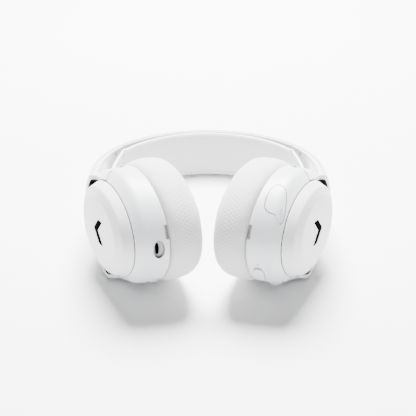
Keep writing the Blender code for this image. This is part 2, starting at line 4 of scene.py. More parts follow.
import bmesh
import bpy
import numpy as np
from bpy.props import FloatProperty, FloatVectorProperty, PointerProperty
from mathutils import Matrix, Vector
from mathutils.bvhtree import BVHTree


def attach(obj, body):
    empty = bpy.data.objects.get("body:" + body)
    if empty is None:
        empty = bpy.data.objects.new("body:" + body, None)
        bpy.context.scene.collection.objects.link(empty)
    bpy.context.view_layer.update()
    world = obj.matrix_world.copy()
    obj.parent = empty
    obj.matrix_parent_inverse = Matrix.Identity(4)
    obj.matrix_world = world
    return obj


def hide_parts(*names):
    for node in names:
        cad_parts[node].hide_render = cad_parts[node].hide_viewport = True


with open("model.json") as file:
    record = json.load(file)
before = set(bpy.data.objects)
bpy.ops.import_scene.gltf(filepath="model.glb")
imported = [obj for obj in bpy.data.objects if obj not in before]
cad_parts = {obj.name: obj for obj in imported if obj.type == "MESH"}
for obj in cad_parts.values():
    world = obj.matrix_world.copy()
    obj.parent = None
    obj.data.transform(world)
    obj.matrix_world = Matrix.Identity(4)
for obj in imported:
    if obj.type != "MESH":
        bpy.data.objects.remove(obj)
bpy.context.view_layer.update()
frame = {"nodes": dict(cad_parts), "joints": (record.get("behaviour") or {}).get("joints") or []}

bl_info = {
    "name": "Gaming headset",
    "version": (1, 0, 0),
    "blender": (4, 5, 0),
    "location": "View3D > Sidebar > Headset",
    "description": "Builds the finished surfaces of a wireless over-ear headset round its CAD frame",
    "category": "Object",
}

MM = 0.001
SIDES = ((1, "left"), (-1, "right"))


def joint(name):
    """The frame's entry for one joint."""
    return next(item for item in frame["joints"] if item["name"] == name)


# The headset's own axes, from its joints: across to the wearer's left, up to the headband, out to the front
ACROSS = Vector((1.0, 0.0, 0.0))
UP = -Vector(joint("height_left")["axis"]).normalized()
FRONT = ACROSS.cross(UP)
SWIVEL_X = 81.2
ARM_END = 31.7
ORIGIN = Vector(joint("swivel_left")["pos_m"]) - ACROSS * (SWIVEL_X * MM) - UP * (ARM_END * MM)
HEAD = Matrix.Translation(ORIGIN) @ Matrix((ACROSS, UP, FRONT)).transposed().to_4x4()

# Ear cup
CUP_CENTRE_X = 46.3
CUP_LEAN = math.radians(27.5)
SHELL_LINE = ((0.0, 48.0, 38.4), (4.0, 46.3, 38.6), (9.0, 44.7, 38.8), (14.2, 43.4, 38.2),
              (20.5, 39.8, 31.8))
PLATE_LINE = ((20.95, 39.7, 31.7), (27.4, 36.1, 28.9), (30.2, 28.7, 23.0))
SHELL_WALL = 2.0
SHELL_BACK = 18.4
RECESS_START = 5.2
RECESS_DEPTH = 3.6
RECESS_FRONT = 75.1
RECESS_BACK = -115.2
YOKE_FRONT = 73.3
YOKE_BACK = -113.3
YOKE_CROWN_MIDDLE = -20.5
PIVOT_OUT = 13.0
PIVOT_FRONT = 66.0
PIVOT_BACK = -107.0

# Headband arch
ARCH_HALF_WIDTH = 85.5
ARCH_TOP = 146.6
ARCH_SPRING_LINE = 54.5
BAND_HALF_DEPTH = 18.9


def cup_matrix(side):
    """The ear cup's axes: outwards, up along the cup, to the front."""
    return HEAD @ Matrix.Translation((side * CUP_CENTRE_X * MM, 0.0,
                                      0.0)) @ Matrix.Rotation(-side * CUP_LEAN, 4, "Z")


# ------------------------------------------------------------------ settings

def linear(code):
    """A hex sRGB colour as linear red, green and blue."""
    parts = [int(code[index:index + 2], 16) / 255.0 for index in (1, 3, 5)]
    return tuple(part / 12.92 if part <= 0.04045 else ((part + 0.055) / 1.055) ** 2.4 for part in parts)


def colour_property(name, code, description):
    """A colour setting with a hex sRGB default."""
    return FloatVectorProperty(name=name, description=description, subtype="COLOR", size=3, min=0.0, max=1.0,
                               default=linear(code))


def length_property(name, value_mm, description):
    """A length setting whose default is given in millimetres."""
    return FloatProperty(name=name, description=description, default=value_mm * MM, min=0.0,
                         subtype="DISTANCE", unit="LENGTH", precision=5)


class HeadsetSizes(bpy.types.PropertyGroup):
    knit_cell: length_property("Knit cell", 2.75, "Width of one diamond of the cushions' knit")
    knit_depth: length_property("Knit relief", 0.16, "How far the cushions' diamonds stand out")
    cushion_swell: length_property("Cushion swell", 3.0,
                                   "Most that the foam may push the cushion's cover out")
    strap_hem: length_property("Strap hem", 1.15, "Radius of the rolled hem along the strap")
    strap_stitch: length_property("Strap stitch", 2.4, "Distance between the strap's hem stitches")
    grain: length_property("Moulding grain", 0.35, "Size of the fine texture moulded into the satin plastic")
    wheel_rib: length_property("Wheel rib", 0.9, "Distance between the ribs of the volume wheel")


class HeadsetColours(bpy.types.PropertyGroup):
    shell: colour_property("Cup shells", "#E1E3E7", "Satin plastic of the ear cups and yokes")
    plate: colour_property("Speaker plates", "#E5E5E5", "Satin plastic of the outer plates")
    band: colour_property("Headband", "#E9EAEC", "Satin plastic of the headband")
    gloss: colour_property("Arms", "#F1F2F3", "Polished plastic of the arms' inner faces")
    cushion: colour_property("Cushions", "#E0E0E0", "Knit of the ear cushions")
    strap: colour_property("Strap", "#E2E3E3", "Knit of the suspension strap")
    black: colour_property("Black parts", "#0B0B0C", "Black plastic and cloth")
    light: colour_property("Status light", "#9BE86A", "Light pipe of the status light")


# ------------------------------------------------------------------ materials

def add_node(tree, kind, inputs=None, **settings):
    """Add one node; inputs maps a socket to a value or to another node's output."""
    made = tree.nodes.new(kind)
    for key, value in settings.items():
        setattr(made, key, value)
    for key, value in (inputs or {}).items():
        if isinstance(value, bpy.types.NodeSocket):
            tree.links.new(value, made.inputs[key])
        else:
            made.inputs[key].default_value = value
    return made


def new_material(name, colour, roughness, metallic=0.0, **values):
    """A material with one Principled shader, its uniform values on the shader's own sockets."""
    material = bpy.data.materials.new(name)
    material.use_nodes = True
    tree = material.node_tree
    shader = tree.nodes["Principled BSDF"]
    shader.inputs["Base Color"].default_value = (*colour, 1.0)
    shader.inputs["Roughness"].default_value = roughness
    shader.inputs["Metallic"].default_value = metallic
    for key, value in values.items():
        shader.inputs[key.replace("_", " ")].default_value = value
    return material, tree, shader


def shade(colour, factor):
    """A colour made lighter or darker by a factor, with full alpha."""
    return tuple(part * factor for part in colour) + (1.0,)


def moulded_plastic(name, colour, roughness, grain_mm, relief=0.06):
    """ABS from a lightly spark-eroded mould: even colour, a soft sheen and a grain one can just feel."""
    material, tree, shader = new_material(name, colour, roughness, IOR=1.53)
    place = add_node(tree, "ShaderNodeTexCoord").outputs["Object"]
    drift = add_node(tree, "ShaderNodeTexNoise", {"Vector": place, "Scale": 60.0, "Detail": 3.0})
    grain = add_node(tree, "ShaderNodeTexNoise",
                     {"Vector": place, "Scale": 1.0 / (grain_mm * MM), "Detail": 2.0})
    mix = add_node(tree, "ShaderNodeMix", {"Factor": drift.outputs["Fac"], 6: shade(colour, 0.985),
                                           7: shade(colour, 1.0)}, data_type="RGBA")
    spread = add_node(tree, "ShaderNodeMapRange", {"Value": grain.outputs["Fac"], "To Min": roughness - 0.05,
                                                   "To Max": roughness + 0.05})
    bump = add_node(tree, "ShaderNodeBump", {"Height": grain.outputs["Fac"], "Strength": relief,
                                             "Distance": 0.0001})
    tree.links.new(mix.outputs[2], shader.inputs["Base Color"])
    tree.links.new(spread.outputs["Result"], shader.inputs["Roughness"])
    tree.links.new(bump.outputs["Normal"], shader.inputs["Normal"])
    return material


def matt_ink_and_shade(name, colour):
    """Matt black ink, also painted shade for the unlit inside of narrow gaps."""
    material, tree, shader = new_material(name, colour, 1.0, IOR=1.02)
    place = add_node(tree, "ShaderNodeTexCoord").outputs["Object"]
    speckle = add_node(tree, "ShaderNodeTexNoise", {"Vector": place, "Scale": 3000.0})
    mix = add_node(tree, "ShaderNodeMix", {"Factor": speckle.outputs["Fac"], 6: shade(colour, 0.7),
                                           7: shade(colour, 1.0)}, data_type="RGBA")
    tree.links.new(mix.outputs[2], shader.inputs["Base Color"])
    return material


def polished_plastic(name, colour):
    """Polished ABS: a clear gloss with the slight waviness of a moulded face."""
    material, tree, shader = new_material(name, colour, 0.16, IOR=1.53, Coat_Weight=0.3, Coat_Roughness=0.08)
    place = add_node(tree, "ShaderNodeTexCoord").outputs["Object"]
    wave = add_node(tree, "ShaderNodeTexNoise", {"Vector": place, "Scale": 140.0, "Detail": 1.0})
    bump = add_node(tree, "ShaderNodeBump",
                    {"Height": wave.outputs["Fac"], "Strength": 0.03, "Distance": 0.0002})
    spread = add_node(tree, "ShaderNodeMapRange",
                      {"Value": wave.outputs["Fac"], "To Min": 0.13, "To Max": 0.19})
    tree.links.new(spread.outputs["Result"], shader.inputs["Roughness"])
    tree.links.new(bump.outputs["Normal"], shader.inputs["Normal"])
    return material


def lattice_lines(tree, across, along):
    """How near a point is to a diamond lattice's lines and to its crossings, 0 to 1."""
    def distance(operation):
        total = add_node(tree, "ShaderNodeMath", {0: across, 1: along}, operation=operation)
        part = add_node(tree, "ShaderNodeMath", {0: total.outputs[0]}, operation="FRACT")
        centred = add_node(tree, "ShaderNodeMath", {0: part.outputs[0], 1: 0.5}, operation="SUBTRACT")
        return add_node(tree, "ShaderNodeMath", {0: centred.outputs[0]}, operation="ABSOLUTE").outputs[0]
    rising = distance("ADD")
    falling = distance("SUBTRACT")
    nearest = add_node(tree, "ShaderNodeMath", {0: rising, 1: falling}, operation="MAXIMUM").outputs[0]
    both = add_node(tree, "ShaderNodeMath", {0: rising, 1: falling}, operation="MINIMUM").outputs[0]
    return nearest, both


def diamond_knit(name, colour):
    """Spacer knit: soft diamonds with painted shade in their valleys and in a small eyelet at each crossing.
    """
    material, tree, shader = new_material(name, colour, 0.92, Sheen_Weight=0.35, Sheen_Roughness=0.4)
    place = add_node(tree, "ShaderNodeUVMap", uv_map="knit").outputs["UV"]
    split = add_node(tree, "ShaderNodeSeparateXYZ", {"Vector": place})
    nearest, both = lattice_lines(tree, split.outputs["X"], split.outputs["Y"])
    valley = add_node(tree, "ShaderNodeMapRange", {"Value": nearest, "From Min": 0.36, "From Max": 0.5})
    eyelet = add_node(tree, "ShaderNodeMapRange", {"Value": both, "From Min": 0.36, "From Max": 0.47})
    threads = add_node(tree, "ShaderNodeTexNoise", {"Vector": place, "Scale": 7.0, "Detail": 3.0})
    # Painted shade: the valleys darken towards 0.76 and the eyelets towards 0.4 of the knit's colour.
    shadow = add_node(tree, "ShaderNodeMix", {"Factor": valley.outputs[0], 6: shade(colour, 1.0),
                                              7: shade(colour, 0.76)}, data_type="RGBA")
    dots = add_node(tree, "ShaderNodeMix", {"Factor": eyelet.outputs[0], 6: shadow.outputs[2],
                                            7: shade(colour, 0.4)}, data_type="RGBA")
    soft = add_node(tree, "ShaderNodeMapRange",
                    {"Value": threads.outputs["Fac"], "To Min": 0.95, "To Max": 1.03})
    final = add_node(tree, "ShaderNodeVectorMath", {0: dots.outputs[2], "Scale": soft.outputs[0]},
                     operation="SCALE")
    height = add_node(tree, "ShaderNodeMath", {0: threads.outputs["Fac"], 1: eyelet.outputs[0]},
                      operation="SUBTRACT")
    bump = add_node(tree, "ShaderNodeBump",
                    {"Height": height.outputs[0], "Strength": 0.3, "Distance": 0.0002})
    tree.links.new(final.outputs[0], shader.inputs["Base Color"])
    tree.links.new(bump.outputs["Normal"], shader.inputs["Normal"])
    return material


def rib_knit(name, colour):
    """Elastic rib knit: rows of loops under a millimetre apart, matt with a little fuzz."""
    material, tree, shader = new_material(name, colour, 0.95, Sheen_Weight=0.3, Sheen_Roughness=0.5)
    place = add_node(tree, "ShaderNodeUVMap", uv_map="knit").outputs["UV"]
    wave = add_node(tree, "ShaderNodeTexWave",
                    {"Vector": place, "Scale": 0.45, "Distortion": 1.2, "Detail": 2.0,
                                                "Detail Scale": 3.0}, bands_direction="Y")
    rows = add_node(tree, "ShaderNodeTexWave",
                    {"Vector": place, "Scale": 0.32, "Distortion": 2.0, "Detail": 2.0},
                    bands_direction="X")
    loops = add_node(tree, "ShaderNodeMath", {0: wave.outputs["Fac"], 1: rows.outputs["Fac"]},
                     operation="MULTIPLY")
    cloud = add_node(tree, "ShaderNodeTexNoise", {"Vector": place, "Scale": 0.12, "Detail": 3.0})
    mixed = add_node(tree, "ShaderNodeMath", {0: loops.outputs[0], 1: cloud.outputs["Fac"]}, operation="ADD")
    tone = add_node(tree, "ShaderNodeMapRange", {"Value": mixed.outputs[0], "From Max": 1.6})
    mix = add_node(tree, "ShaderNodeMix", {"Factor": tone.outputs[0], 6: shade(colour, 0.93),
                                           7: shade(colour, 1.0)}, data_type="RGBA")
    bump = add_node(tree, "ShaderNodeBump",
                    {"Height": loops.outputs[0], "Strength": 0.35, "Distance": 0.00015})
    tree.links.new(mix.outputs[2], shader.inputs["Base Color"])
    tree.links.new(bump.outputs["Normal"], shader.inputs["Normal"])
    return material


def open_cloth(name, colour):
    """Acoustic cloth: plain weave, with threads drawn at 0.6 mm so that they show."""
    material, tree, shader = new_material(name, colour, 0.9, Sheen_Weight=0.2)
    place = add_node(tree, "ShaderNodeTexCoord").outputs["Object"]
    warp = add_node(tree, "ShaderNodeTexWave", {"Vector": place, "Scale": 80.0}, bands_direction="Y")
    weft = add_node(tree, "ShaderNodeTexWave", {"Vector": place, "Scale": 80.0}, bands_direction="Z")
    weave = add_node(tree, "ShaderNodeMath", {0: warp.outputs["Fac"], 1: weft.outputs["Fac"]},
                     operation="MULTIPLY")
    mix = add_node(tree, "ShaderNodeMix", {"Factor": weave.outputs[0], 6: shade(colour, 0.5),
                                           7: shade(colour, 4.0)}, data_type="RGBA")
    bump = add_node(tree, "ShaderNodeBump", {"Height": weave.outputs[0], "Strength": 0.5, "Distance": 0.0002})
    tree.links.new(mix.outputs[2], shader.inputs["Base Color"])
    tree.links.new(bump.outputs["Normal"], shader.inputs["Normal"])
    return material


def rolled_steel(name, colour):
    """Cold-rolled spring steel: fine lines along the strip and a bright, slightly blurred reflection."""
    material, tree, shader = new_material(name, colour, 0.3, metallic=1.0)
    place = add_node(tree, "ShaderNodeTexCoord").outputs["Object"]
    stretch = add_node(tree, "ShaderNodeMapping", {"Vector": place, "Scale": (4000.0, 60.0, 4000.0)})
    lines = add_node(tree, "ShaderNodeTexNoise", {"Vector": stretch.outputs[0], "Scale": 1.0, "Detail": 2.0})
    spread = add_node(tree, "ShaderNodeMapRange",
                      {"Value": lines.outputs["Fac"], "To Min": 0.22, "To Max": 0.4})
    bump = add_node(tree, "ShaderNodeBump", {"Height": lines.outputs["Fac"], "Strength": 0.08,
                                             "Distance": 0.00005})
    tree.links.new(spread.outputs["Result"], shader.inputs["Roughness"])
    tree.links.new(bump.outputs["Normal"], shader.inputs["Normal"])
    return material


def solder_mask(name, colour):
    """Green solder mask over copper: glossy, with traces showing faintly through."""
    material, tree, shader = new_material(name, colour, 0.25, IOR=1.5)
    place = add_node(tree, "ShaderNodeTexCoord").outputs["Object"]
    traces = add_node(tree, "ShaderNodeTexBrick", {"Vector": place, "Scale": 120.0,
                                                   "Color1": shade(colour, 1.0), "Color2": shade(colour, 0.8),
                                                   "Mortar": shade(colour, 1.8), "Mortar Size": 0.03})
    tree.links.new(traces.outputs["Color"], shader.inputs["Base Color"])
    return material


def light_pipe(name, colour):
    """Clear acrylic light pipe, lit from behind by a small green lamp."""
    material, tree, shader = new_material(name, colour, 0.2, Emission_Strength=0.7)
    place = add_node(tree, "ShaderNodeTexCoord").outputs["Object"]
    cloud = add_node(tree, "ShaderNodeTexNoise", {"Vector": place, "Scale": 500.0})
    mix = add_node(tree, "ShaderNodeMix", {"Factor": cloud.outputs["Fac"], 6: shade(colour, 0.85),
                                           7: shade(colour, 1.0)}, data_type="RGBA")
    tree.links.new(mix.outputs[2], shader.inputs["Base Color"])
    tree.links.new(mix.outputs[2], shader.inputs["Emission Color"])
    return material


def finish(name):
    """The named finish, made once and shared by the pieces that have it."""
    made = bpy.data.materials.get(name)
    if made:
        return made
    colours = bpy.context.scene.headset_colours
    grain = bpy.context.scene.headset_sizes.grain / MM
    makers = {
        "shell_abs": lambda: moulded_plastic(name, tuple(colours.shell), 0.38, grain),
        "plate_abs": lambda: moulded_plastic(name, tuple(colours.plate), 0.42, grain),
        "band_abs": lambda: moulded_plastic(name, tuple(colours.band), 0.36, grain),
        "polished_abs": lambda: polished_plastic(name, tuple(colours.gloss)),
        # Painted shade: grey standing for the shadow inside the release notch and the charging recess.
        "recess_abs": lambda: moulded_plastic(name, linear("#9B9C9E"), 0.5, grain),
        # Black plastic; also painted shade on the yoke's inward faces, standing for the gap's shadow.
        "black_abs": lambda: moulded_plastic(name, tuple(colours.black), 0.4, grain),
        "black_ink": lambda: matt_ink_and_shade(name, tuple(colours.black)),
        "grey_abs": lambda: moulded_plastic(name, linear("#A3A6A8"), 0.45, grain),
        "cushion_knit": lambda: diamond_knit(name, tuple(colours.cushion)),
        "strap_knit": lambda: rib_knit(name, tuple(colours.strap)),
        "hem_braid": lambda: rib_knit(name, linear("#F7F7F7")),
        "acoustic_cloth": lambda: open_cloth(name, tuple(colours.black)),
        "spring_steel": lambda: rolled_steel(name, linear("#B9BCC0")),
        "solder_mask": lambda: solder_mask(name, linear("#14502B")),
        "acrylic_light": lambda: light_pipe(name, tuple(colours.light)),
    }
    return makers[name]()


# ------------------------------------------------------------------ mesh helpers

def build(name, points, faces, matrix, material, sharp=32.0):
    """A mesh object at the origin from millimetre points in a frame, faces out, crisp edges kept."""
    mesh = bpy.data.meshes.new(name)
    mesh.from_pydata([tuple(matrix @ (Vector(point) * MM)) for point in points], [], faces)
    work = bmesh.new()
    work.from_mesh(mesh)
    bmesh.ops.remove_doubles(work, verts=work.verts, dist=1e-7)
    bmesh.ops.recalc_face_normals(work, faces=work.faces)
    work.to_mesh(mesh)
    work.free()
    mesh.shade_smooth()
    mesh.set_sharp_from_angle(angle=math.radians(sharp))
    item = bpy.data.objects.new(name, mesh)
    bpy.context.scene.collection.objects.link(item)
    if material:
        mesh.materials.append(finish(material))
    return item


def loft(rings, wrap=False):
    """Points and faces through rings of equally many points; open ends close with one face each."""
    count = len(rings[0])
    points = [Vector(point) for ring in rings for point in ring]
    faces = []
    for row in range(len(rings) if wrap else len(rings) - 1):
        near = row * count
        far = (row + 1) % len(rings) * count
        for column in range(count):
            step = (column + 1) % count
            faces.append((near + column, near + step, far + step, far + column))
    if not wrap:
        faces += [tuple(range(start, start + count)) for start in (0, len(points) - count)]
    return points, faces


def rounded(points, radius, steps=4, closed=True):
    """The same outline with each corner eased over a radius, for points of any dimension."""
    points = [np.array(point, float) for point in points]
    count = len(points)
    made = []
    for index, corner in enumerate(points):
        if not closed and index in (0, count - 1):
            made.append(corner)
            continue
        before = points[index - 1] - corner
        after = points[(index + 1) % count] - corner
        reach = min(radius, 0.5 * np.linalg.norm(before), 0.5 * np.linalg.norm(after))
        start = corner + before / np.linalg.norm(before) * reach
        end = corner + after / np.linalg.norm(after) * reach
        for step in range(steps + 1):
            part = step / steps
            made.append((1 - part) ** 2 * start + 2 * part * (1 - part) * corner + part ** 2 * end)
    return made


def smooth_closed(points, steps=6):
    """A closed curve through the points of an outline."""
    points = [np.array(point, float) for point in points]
    made = []
    for index in range(len(points)):
        p0, p1, p2, p3 = (points[(index + shift) % len(points)] for shift in (-1, 0, 1, 2))
        for step in range(steps):
            part = step / steps
            made.append(0.5 * (2 * p1 + (p2 - p0) * part + (2 * p0 - 5 * p1 + 4 * p2 - p3) * part ** 2
                               + (3 * p1 - p0 - 3 * p2 + p3) * part ** 3))
    return made


def smooth_step(value):
    """An eased share from 0 to 1, flat at both ends."""
    value = min(max(value, 0.0), 1.0)
    return value * value * (3.0 - 2.0 * value)


def volume(item):
    """The volume inside a piece's closed mesh."""
    work = bmesh.new()
    work.from_mesh(item.data)
    found = work.calc_volume()
    work.free()
    return found


def cut_with(item, *cutters):
    """Cut the cutters out of a piece one by one, checking that each takes no more than its own volume."""
    for cutter in cutters:
        least = volume(item) - 1.02 * volume(cutter)
        modifier = item.modifiers.new("cut", "BOOLEAN")
        modifier.operation = "DIFFERENCE"
        modifier.solver = "EXACT"
        modifier.object = cutter
        bake(item)
        if volume(item) < least:
            raise RuntimeError(cutter.name + " took too much out of " + item.name)
        bpy.data.objects.remove(cutter, do_unlink=True)
    item.data.shade_smooth()
    item.data.set_sharp_from_angle(angle=math.radians(32.0))


def bake(item):
    """Replace a piece's mesh with what its modifiers make, and drop the modifiers."""
    bpy.context.view_layer.update()
    graph = bpy.context.evaluated_depsgraph_get()
    mesh = bpy.data.meshes.new_from_object(item.evaluated_get(graph), depsgraph=graph)
    item.modifiers.clear()
    item.data = mesh


def hand_over(item, body, slot, *nodes):
    """Tie a finished piece to its CAD body and hide the CAD nodes it stands for; slot, its finish, is not
    used.
    """
    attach(item, body)
    if nodes:
        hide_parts(*nodes)
    return item


def box_piece(name, low, high, matrix, material=None):
    """A plain box between two corners."""
    corners = ((low[1], low[2]), (high[1], low[2]), (high[1], high[2]), (low[1], high[2]))
    rings = [[(x, y, z) for y, z in corners] for x in (low[0], high[0])]
    return build(name, *loft(rings), matrix, material)


def rod_piece(name, start, end, radius, matrix, material=None, sides=24, fillet=0.0):
    """A round rod, with eased ends where fillet is set."""
    axis = (Vector(end) - Vector(start)).normalized()
    across = axis.orthogonal().normalized()
    other = axis.cross(across)
    stations = [(0.0, radius - fillet), (fillet * 0.3, radius - fillet * 0.3), (fillet, radius)]
    length = (Vector(end) - Vector(start)).length
    if fillet:
        stations += [(length - along, wide) for along, wide in reversed(stations)]
    else:
        stations = [(0.0, radius), (length, radius)]
    rings = []
    for along, wide in stations:
        angles = [2.0 * math.pi * step / sides for step in range(sides)]
        rings.append([Vector(start) + axis * along
                      + (across * math.cos(angle) + other * math.sin(angle)) * wide
                      for angle in angles])
    return build(name, *loft(rings), matrix, material)


# ------------------------------------------------------------------ ear cup surfaces

SHELL_CURVE = np.array(rounded(SHELL_LINE, 2.4, steps=6, closed=False))


def semi_axes(out):
    """The shell's half height and half depth at a distance outwards."""
    return (float(np.interp(out, SHELL_CURVE[:, 0], SHELL_CURVE[:, 1])),
            float(np.interp(out, SHELL_CURVE[:, 0], SHELL_CURVE[:, 2])))


def end_shift(out, degrees):
    """How far the yoke's two ends flare apart over the sloping part of the shell."""
    part = min(max((out - 17.2) / 3.4, 0.0), 1.2)
    front = max(0.0, 1.0 - abs(degrees - RECESS_FRONT) / 40.0)
    back = max(0.0, 1.0 - abs(degrees - RECESS_BACK) / 40.0)
    return part * (6.0 * front - 7.0 * back)


def oval(side, out, semi, degrees):
    """A point on the cup's oval, at a distance outwards, in the cup's frame."""
    angle = math.radians(degrees)
    return Vector((side * out, semi[0] * math.cos(angle), semi[1] * math.sin(angle)))


def shell_point(side, out, degrees):
    """A point on the shell's outer surface."""
    return oval(side, out, semi_axes(min(max(out, 0.0), 20.5)), degrees)


def wall_direction(degrees):
    """Straight out of the shell's side wall, without its outward part."""
    angle = math.radians(degrees)
    semi = semi_axes(PIVOT_OUT)
    return Vector((0.0, math.cos(angle) / semi[0], math.sin(angle) / semi[1])).normalized()


def recess_depth(out, degrees, margin=0.0):
    """The shell's step down for the yoke, with eased edges, at an unshifted angle."""
    edge = 0.35
    inside = min(degrees - RECESS_BACK + margin, RECESS_FRONT + margin - degrees) / edge
    return RECESS_DEPTH * min(smooth_step((out - RECESS_START + 0.3 + margin * 0.1) / 0.3),
                              smooth_step(inside))


def oval_turning(name, side, profile, matrix, material, steps=160, wrap=False):
    """An oval turning from (out, half height, half depth) stations, closed on its axis unless it wraps."""
    angles = [360.0 * step / steps for step in range(steps)]
    rings = [[oval(side, out, (up, front), degrees) for degrees in angles] for out, up, front in profile]
    return build(name, *loft(rings, wrap), matrix, material)


def wall_plug(name, side, outline, direction, proud, depth, matrix, material, grow=0.0, ease=0.45):
    """A plug whose top follows the shell, its edge eased all round; outline is (out, degrees) points."""
    outline = np.array(outline, float)
    middle = outline.mean(axis=0)
    centre = shell_point(side, *middle)

    def ring(scale, lift, spread):
        made = []
        for out, degrees in middle + (outline - middle) * scale:
            point = shell_point(side, out, degrees)
            away = point - centre
            made.append(point + away.normalized() * spread + direction * lift)
        return made

    if material is None:
        rings = [ring(1.0, -depth, grow), ring(1.0, proud, grow)]
        rings += [ring(scale, proud, grow * scale) for scale in (0.7, 0.4, 0.12)]
    else:
        rings = [ring(scale, -depth, 0.0) for scale in (0.12, 0.5, 0.99)]
        rings += [ring(1.0, -depth, 0.0), ring(1.0, proud - ease, 0.0),
                  ring(1.0, proud - ease * 0.35, -ease * 0.1),
                  ring(1.0, proud - ease * 0.06, -ease * 0.45), ring(1.0, proud, -ease)]
        rings += [ring(scale, proud, -ease * scale) for scale in (0.85, 0.7, 0.5, 0.3, 0.12)]
    return build(name, *loft(rings), matrix, material)


def pill(out_low, out_high, degrees_low, degrees_high, corner=0.35, points=5):
    """A rounded rectangle in (out, degrees)."""
    outline = []
    half_out = (out_high - out_low) / 2.0
    half_degrees = (degrees_high - degrees_low) / 2.0
    for quarter, (sign_out, sign_degrees) in enumerate(((1, 1), (-1, 1), (-1, -1), (1, -1))):
        for step in range(points):
            angle = math.pi / 2.0 * (quarter + step / (points - 1))
            reach_out = sign_out * (1.0 - corner) + corner * math.cos(angle)
            reach_degrees = sign_degrees * (1.0 - corner) + corner * math.sin(angle)
            outline.append((out_low + half_out + half_out * reach_out,
                            degrees_low + half_degrees + half_degrees * reach_degrees))
    return outline


MIC_CAP_OUTLINE = smooth_closed(((5.9, 118.0), (7.6, 114.6), (10.6, 114.4), (13.8, 117.0), (16.4, 124.0),
                                 (18.6, 138.0), (19.0, 146.0), (17.8, 151.0), (15.6, 147.5), (13.6, 144.3),
                                 (11.0, 143.8), (8.2, 142.0), (6.1, 137.0), (5.3, 127.0)))
MUTE_OUTLINE = rounded(((4.4, 202.0), (8.6, 203.5), (9.0, 209.0), (7.8, 222.0), (6.4, 225.0), (3.8, 219.0),
                        (3.2, 208.0)), 1.6)
POWER_OUTLINE = pill(1.6, 5.4, 228.0, 237.0)
LIGHT_OUTLINE = pill(6.6, 8.2, 237.0, 241.0)
USB_RECESS_OUTLINE = pill(2.9, 10.1, 170.6, 189.4, corner=0.98, points=9)
USB_BODY_OUTLINE = pill(4.0, 9.0, 172.6, 187.4, corner=0.9, points=8)
USB_MOUTH_OUTLINE = pill(5.7, 8.4, 173.8, 186.2, corner=0.9, points=8)
WHEEL_OUT = 9.7
WHEEL_DEGREES = 240.0
WHEEL_SUNK = 4.2
WHEEL_RADIUS = 6.0


def wheel_matrix():
    """The volume wheel's axes: Z along its axle, which lies along the shell's wall."""
    outward = wall_direction(WHEEL_DEGREES)
    place = shell_point(1, WHEEL_OUT, WHEEL_DEGREES) - outward * WHEEL_SUNK
    turn = Matrix.Rotation(math.atan2(outward.z, outward.y), 4, "X")
    return cup_matrix(1) @ Matrix.Translation(place * MM) @ turn


def shell_cutters(side, matrix):
    """What is cut out of each shell: holes for its controls, the pins and the cushion's release notch."""
    cutters = []
    notch = pill(-1.0, 2.0, 156.0, 170.0, corner=0.2)
    cutters.append(wall_plug("notch", side, notch, wall_direction(163.0), 2.0, 1.4, matrix, None))
    for degrees, outward in ((PIVOT_FRONT, 1), (PIVOT_BACK, -1)):
        surface = shell_point(side, PIVOT_OUT, degrees)
        other = shell_point(side, PIVOT_OUT, PIVOT_BACK if outward > 0 else PIVOT_FRONT)
        axis = (surface - other).normalized()
        cutters.append(rod_piece("pin_hole", surface + axis * 3.0, surface - axis * 10.0, 1.8, matrix))
    if side > 0:
        cutters.append(wall_plug("mic_pocket", side, MIC_CAP_OUTLINE, wall_direction(130.0), 3.0, 5.0, matrix,
                                 None, grow=0.5))
        cutters.append(wall_plug("mute_hole", side, MUTE_OUTLINE, wall_direction(212.6), 3.0, 6.0, matrix,
                                 None,
                                 grow=0.6))
        profile = ((-1.9, 0.5), (-1.9, WHEEL_RADIUS + 0.4), (1.9, WHEEL_RADIUS + 0.4), (1.9, 0.5))
        cutters.append(wheel_turning("wheel_slot", profile, None))
        dot = shell_point(side, 6.5, 197.5)
        cutters.append(rod_piece("mute_dot", dot + wall_direction(197.5), dot - wall_direction(197.5) * 0.8,
                                 0.45,
                                 matrix))
    else:
        cutters.append(wall_plug("power_hole", side, POWER_OUTLINE, wall_direction(232.5), 3.0, 6.0, matrix,
                                 None,
                                 grow=0.35))
        cutters.append(wall_plug("light_hole", side, LIGHT_OUTLINE, wall_direction(239.0), 3.0, 6.0, matrix,
                                 None,
                                 grow=0.2))
        cutters.append(wall_plug("usb_recess", side, USB_RECESS_OUTLINE, wall_direction(180.0), 4.0, 2.8,
                                 matrix,
                                 None))
    # Painted shade: the faces each cutter leaves in the shell take black (slot 1), or grey (slot 2) in the
    # notch and the charging recess, for the shadow inside them.
    for cutter in cutters:
        index = 2 if cutter.name.startswith(("notch", "usb_recess")) else 1
        cutter.data.polygons.foreach_set("material_index", [index] * len(cutter.data.polygons))
    return cutters


def wheel_turning(name, profile, material, sides=72):
    """A turning about the volume wheel's axle from (height, radius) stations."""
    rings = [[(radius * math.cos(2.0 * math.pi * step / sides),
               radius * math.sin(2.0 * math.pi * step / sides),
               height) for step in range(sides)] for height, radius in profile]
    return build(name, *loft(rings), wheel_matrix(), material)


def paint_gap_shade(shell, side, matrix):
    """Paint shade on the shell's stepped-down faces, which only show through narrow gaps: the black finish
    there stands for their shadow.
    """
    back = matrix.inverted()
    for face in shell.data.polygons:
        place = back @ face.center / MM
        out = side * place.x
        semi = semi_axes(min(max(out, 0.0), 20.5))
        level = math.hypot(place.y / semi[0], place.z / semi[1])
        depth = (1.0 / level - 1.0) * math.hypot(place.y, place.z)
        if RECESS_START - 0.3 < out < 20.6 and depth > 0.3:
            face.material_index = 1


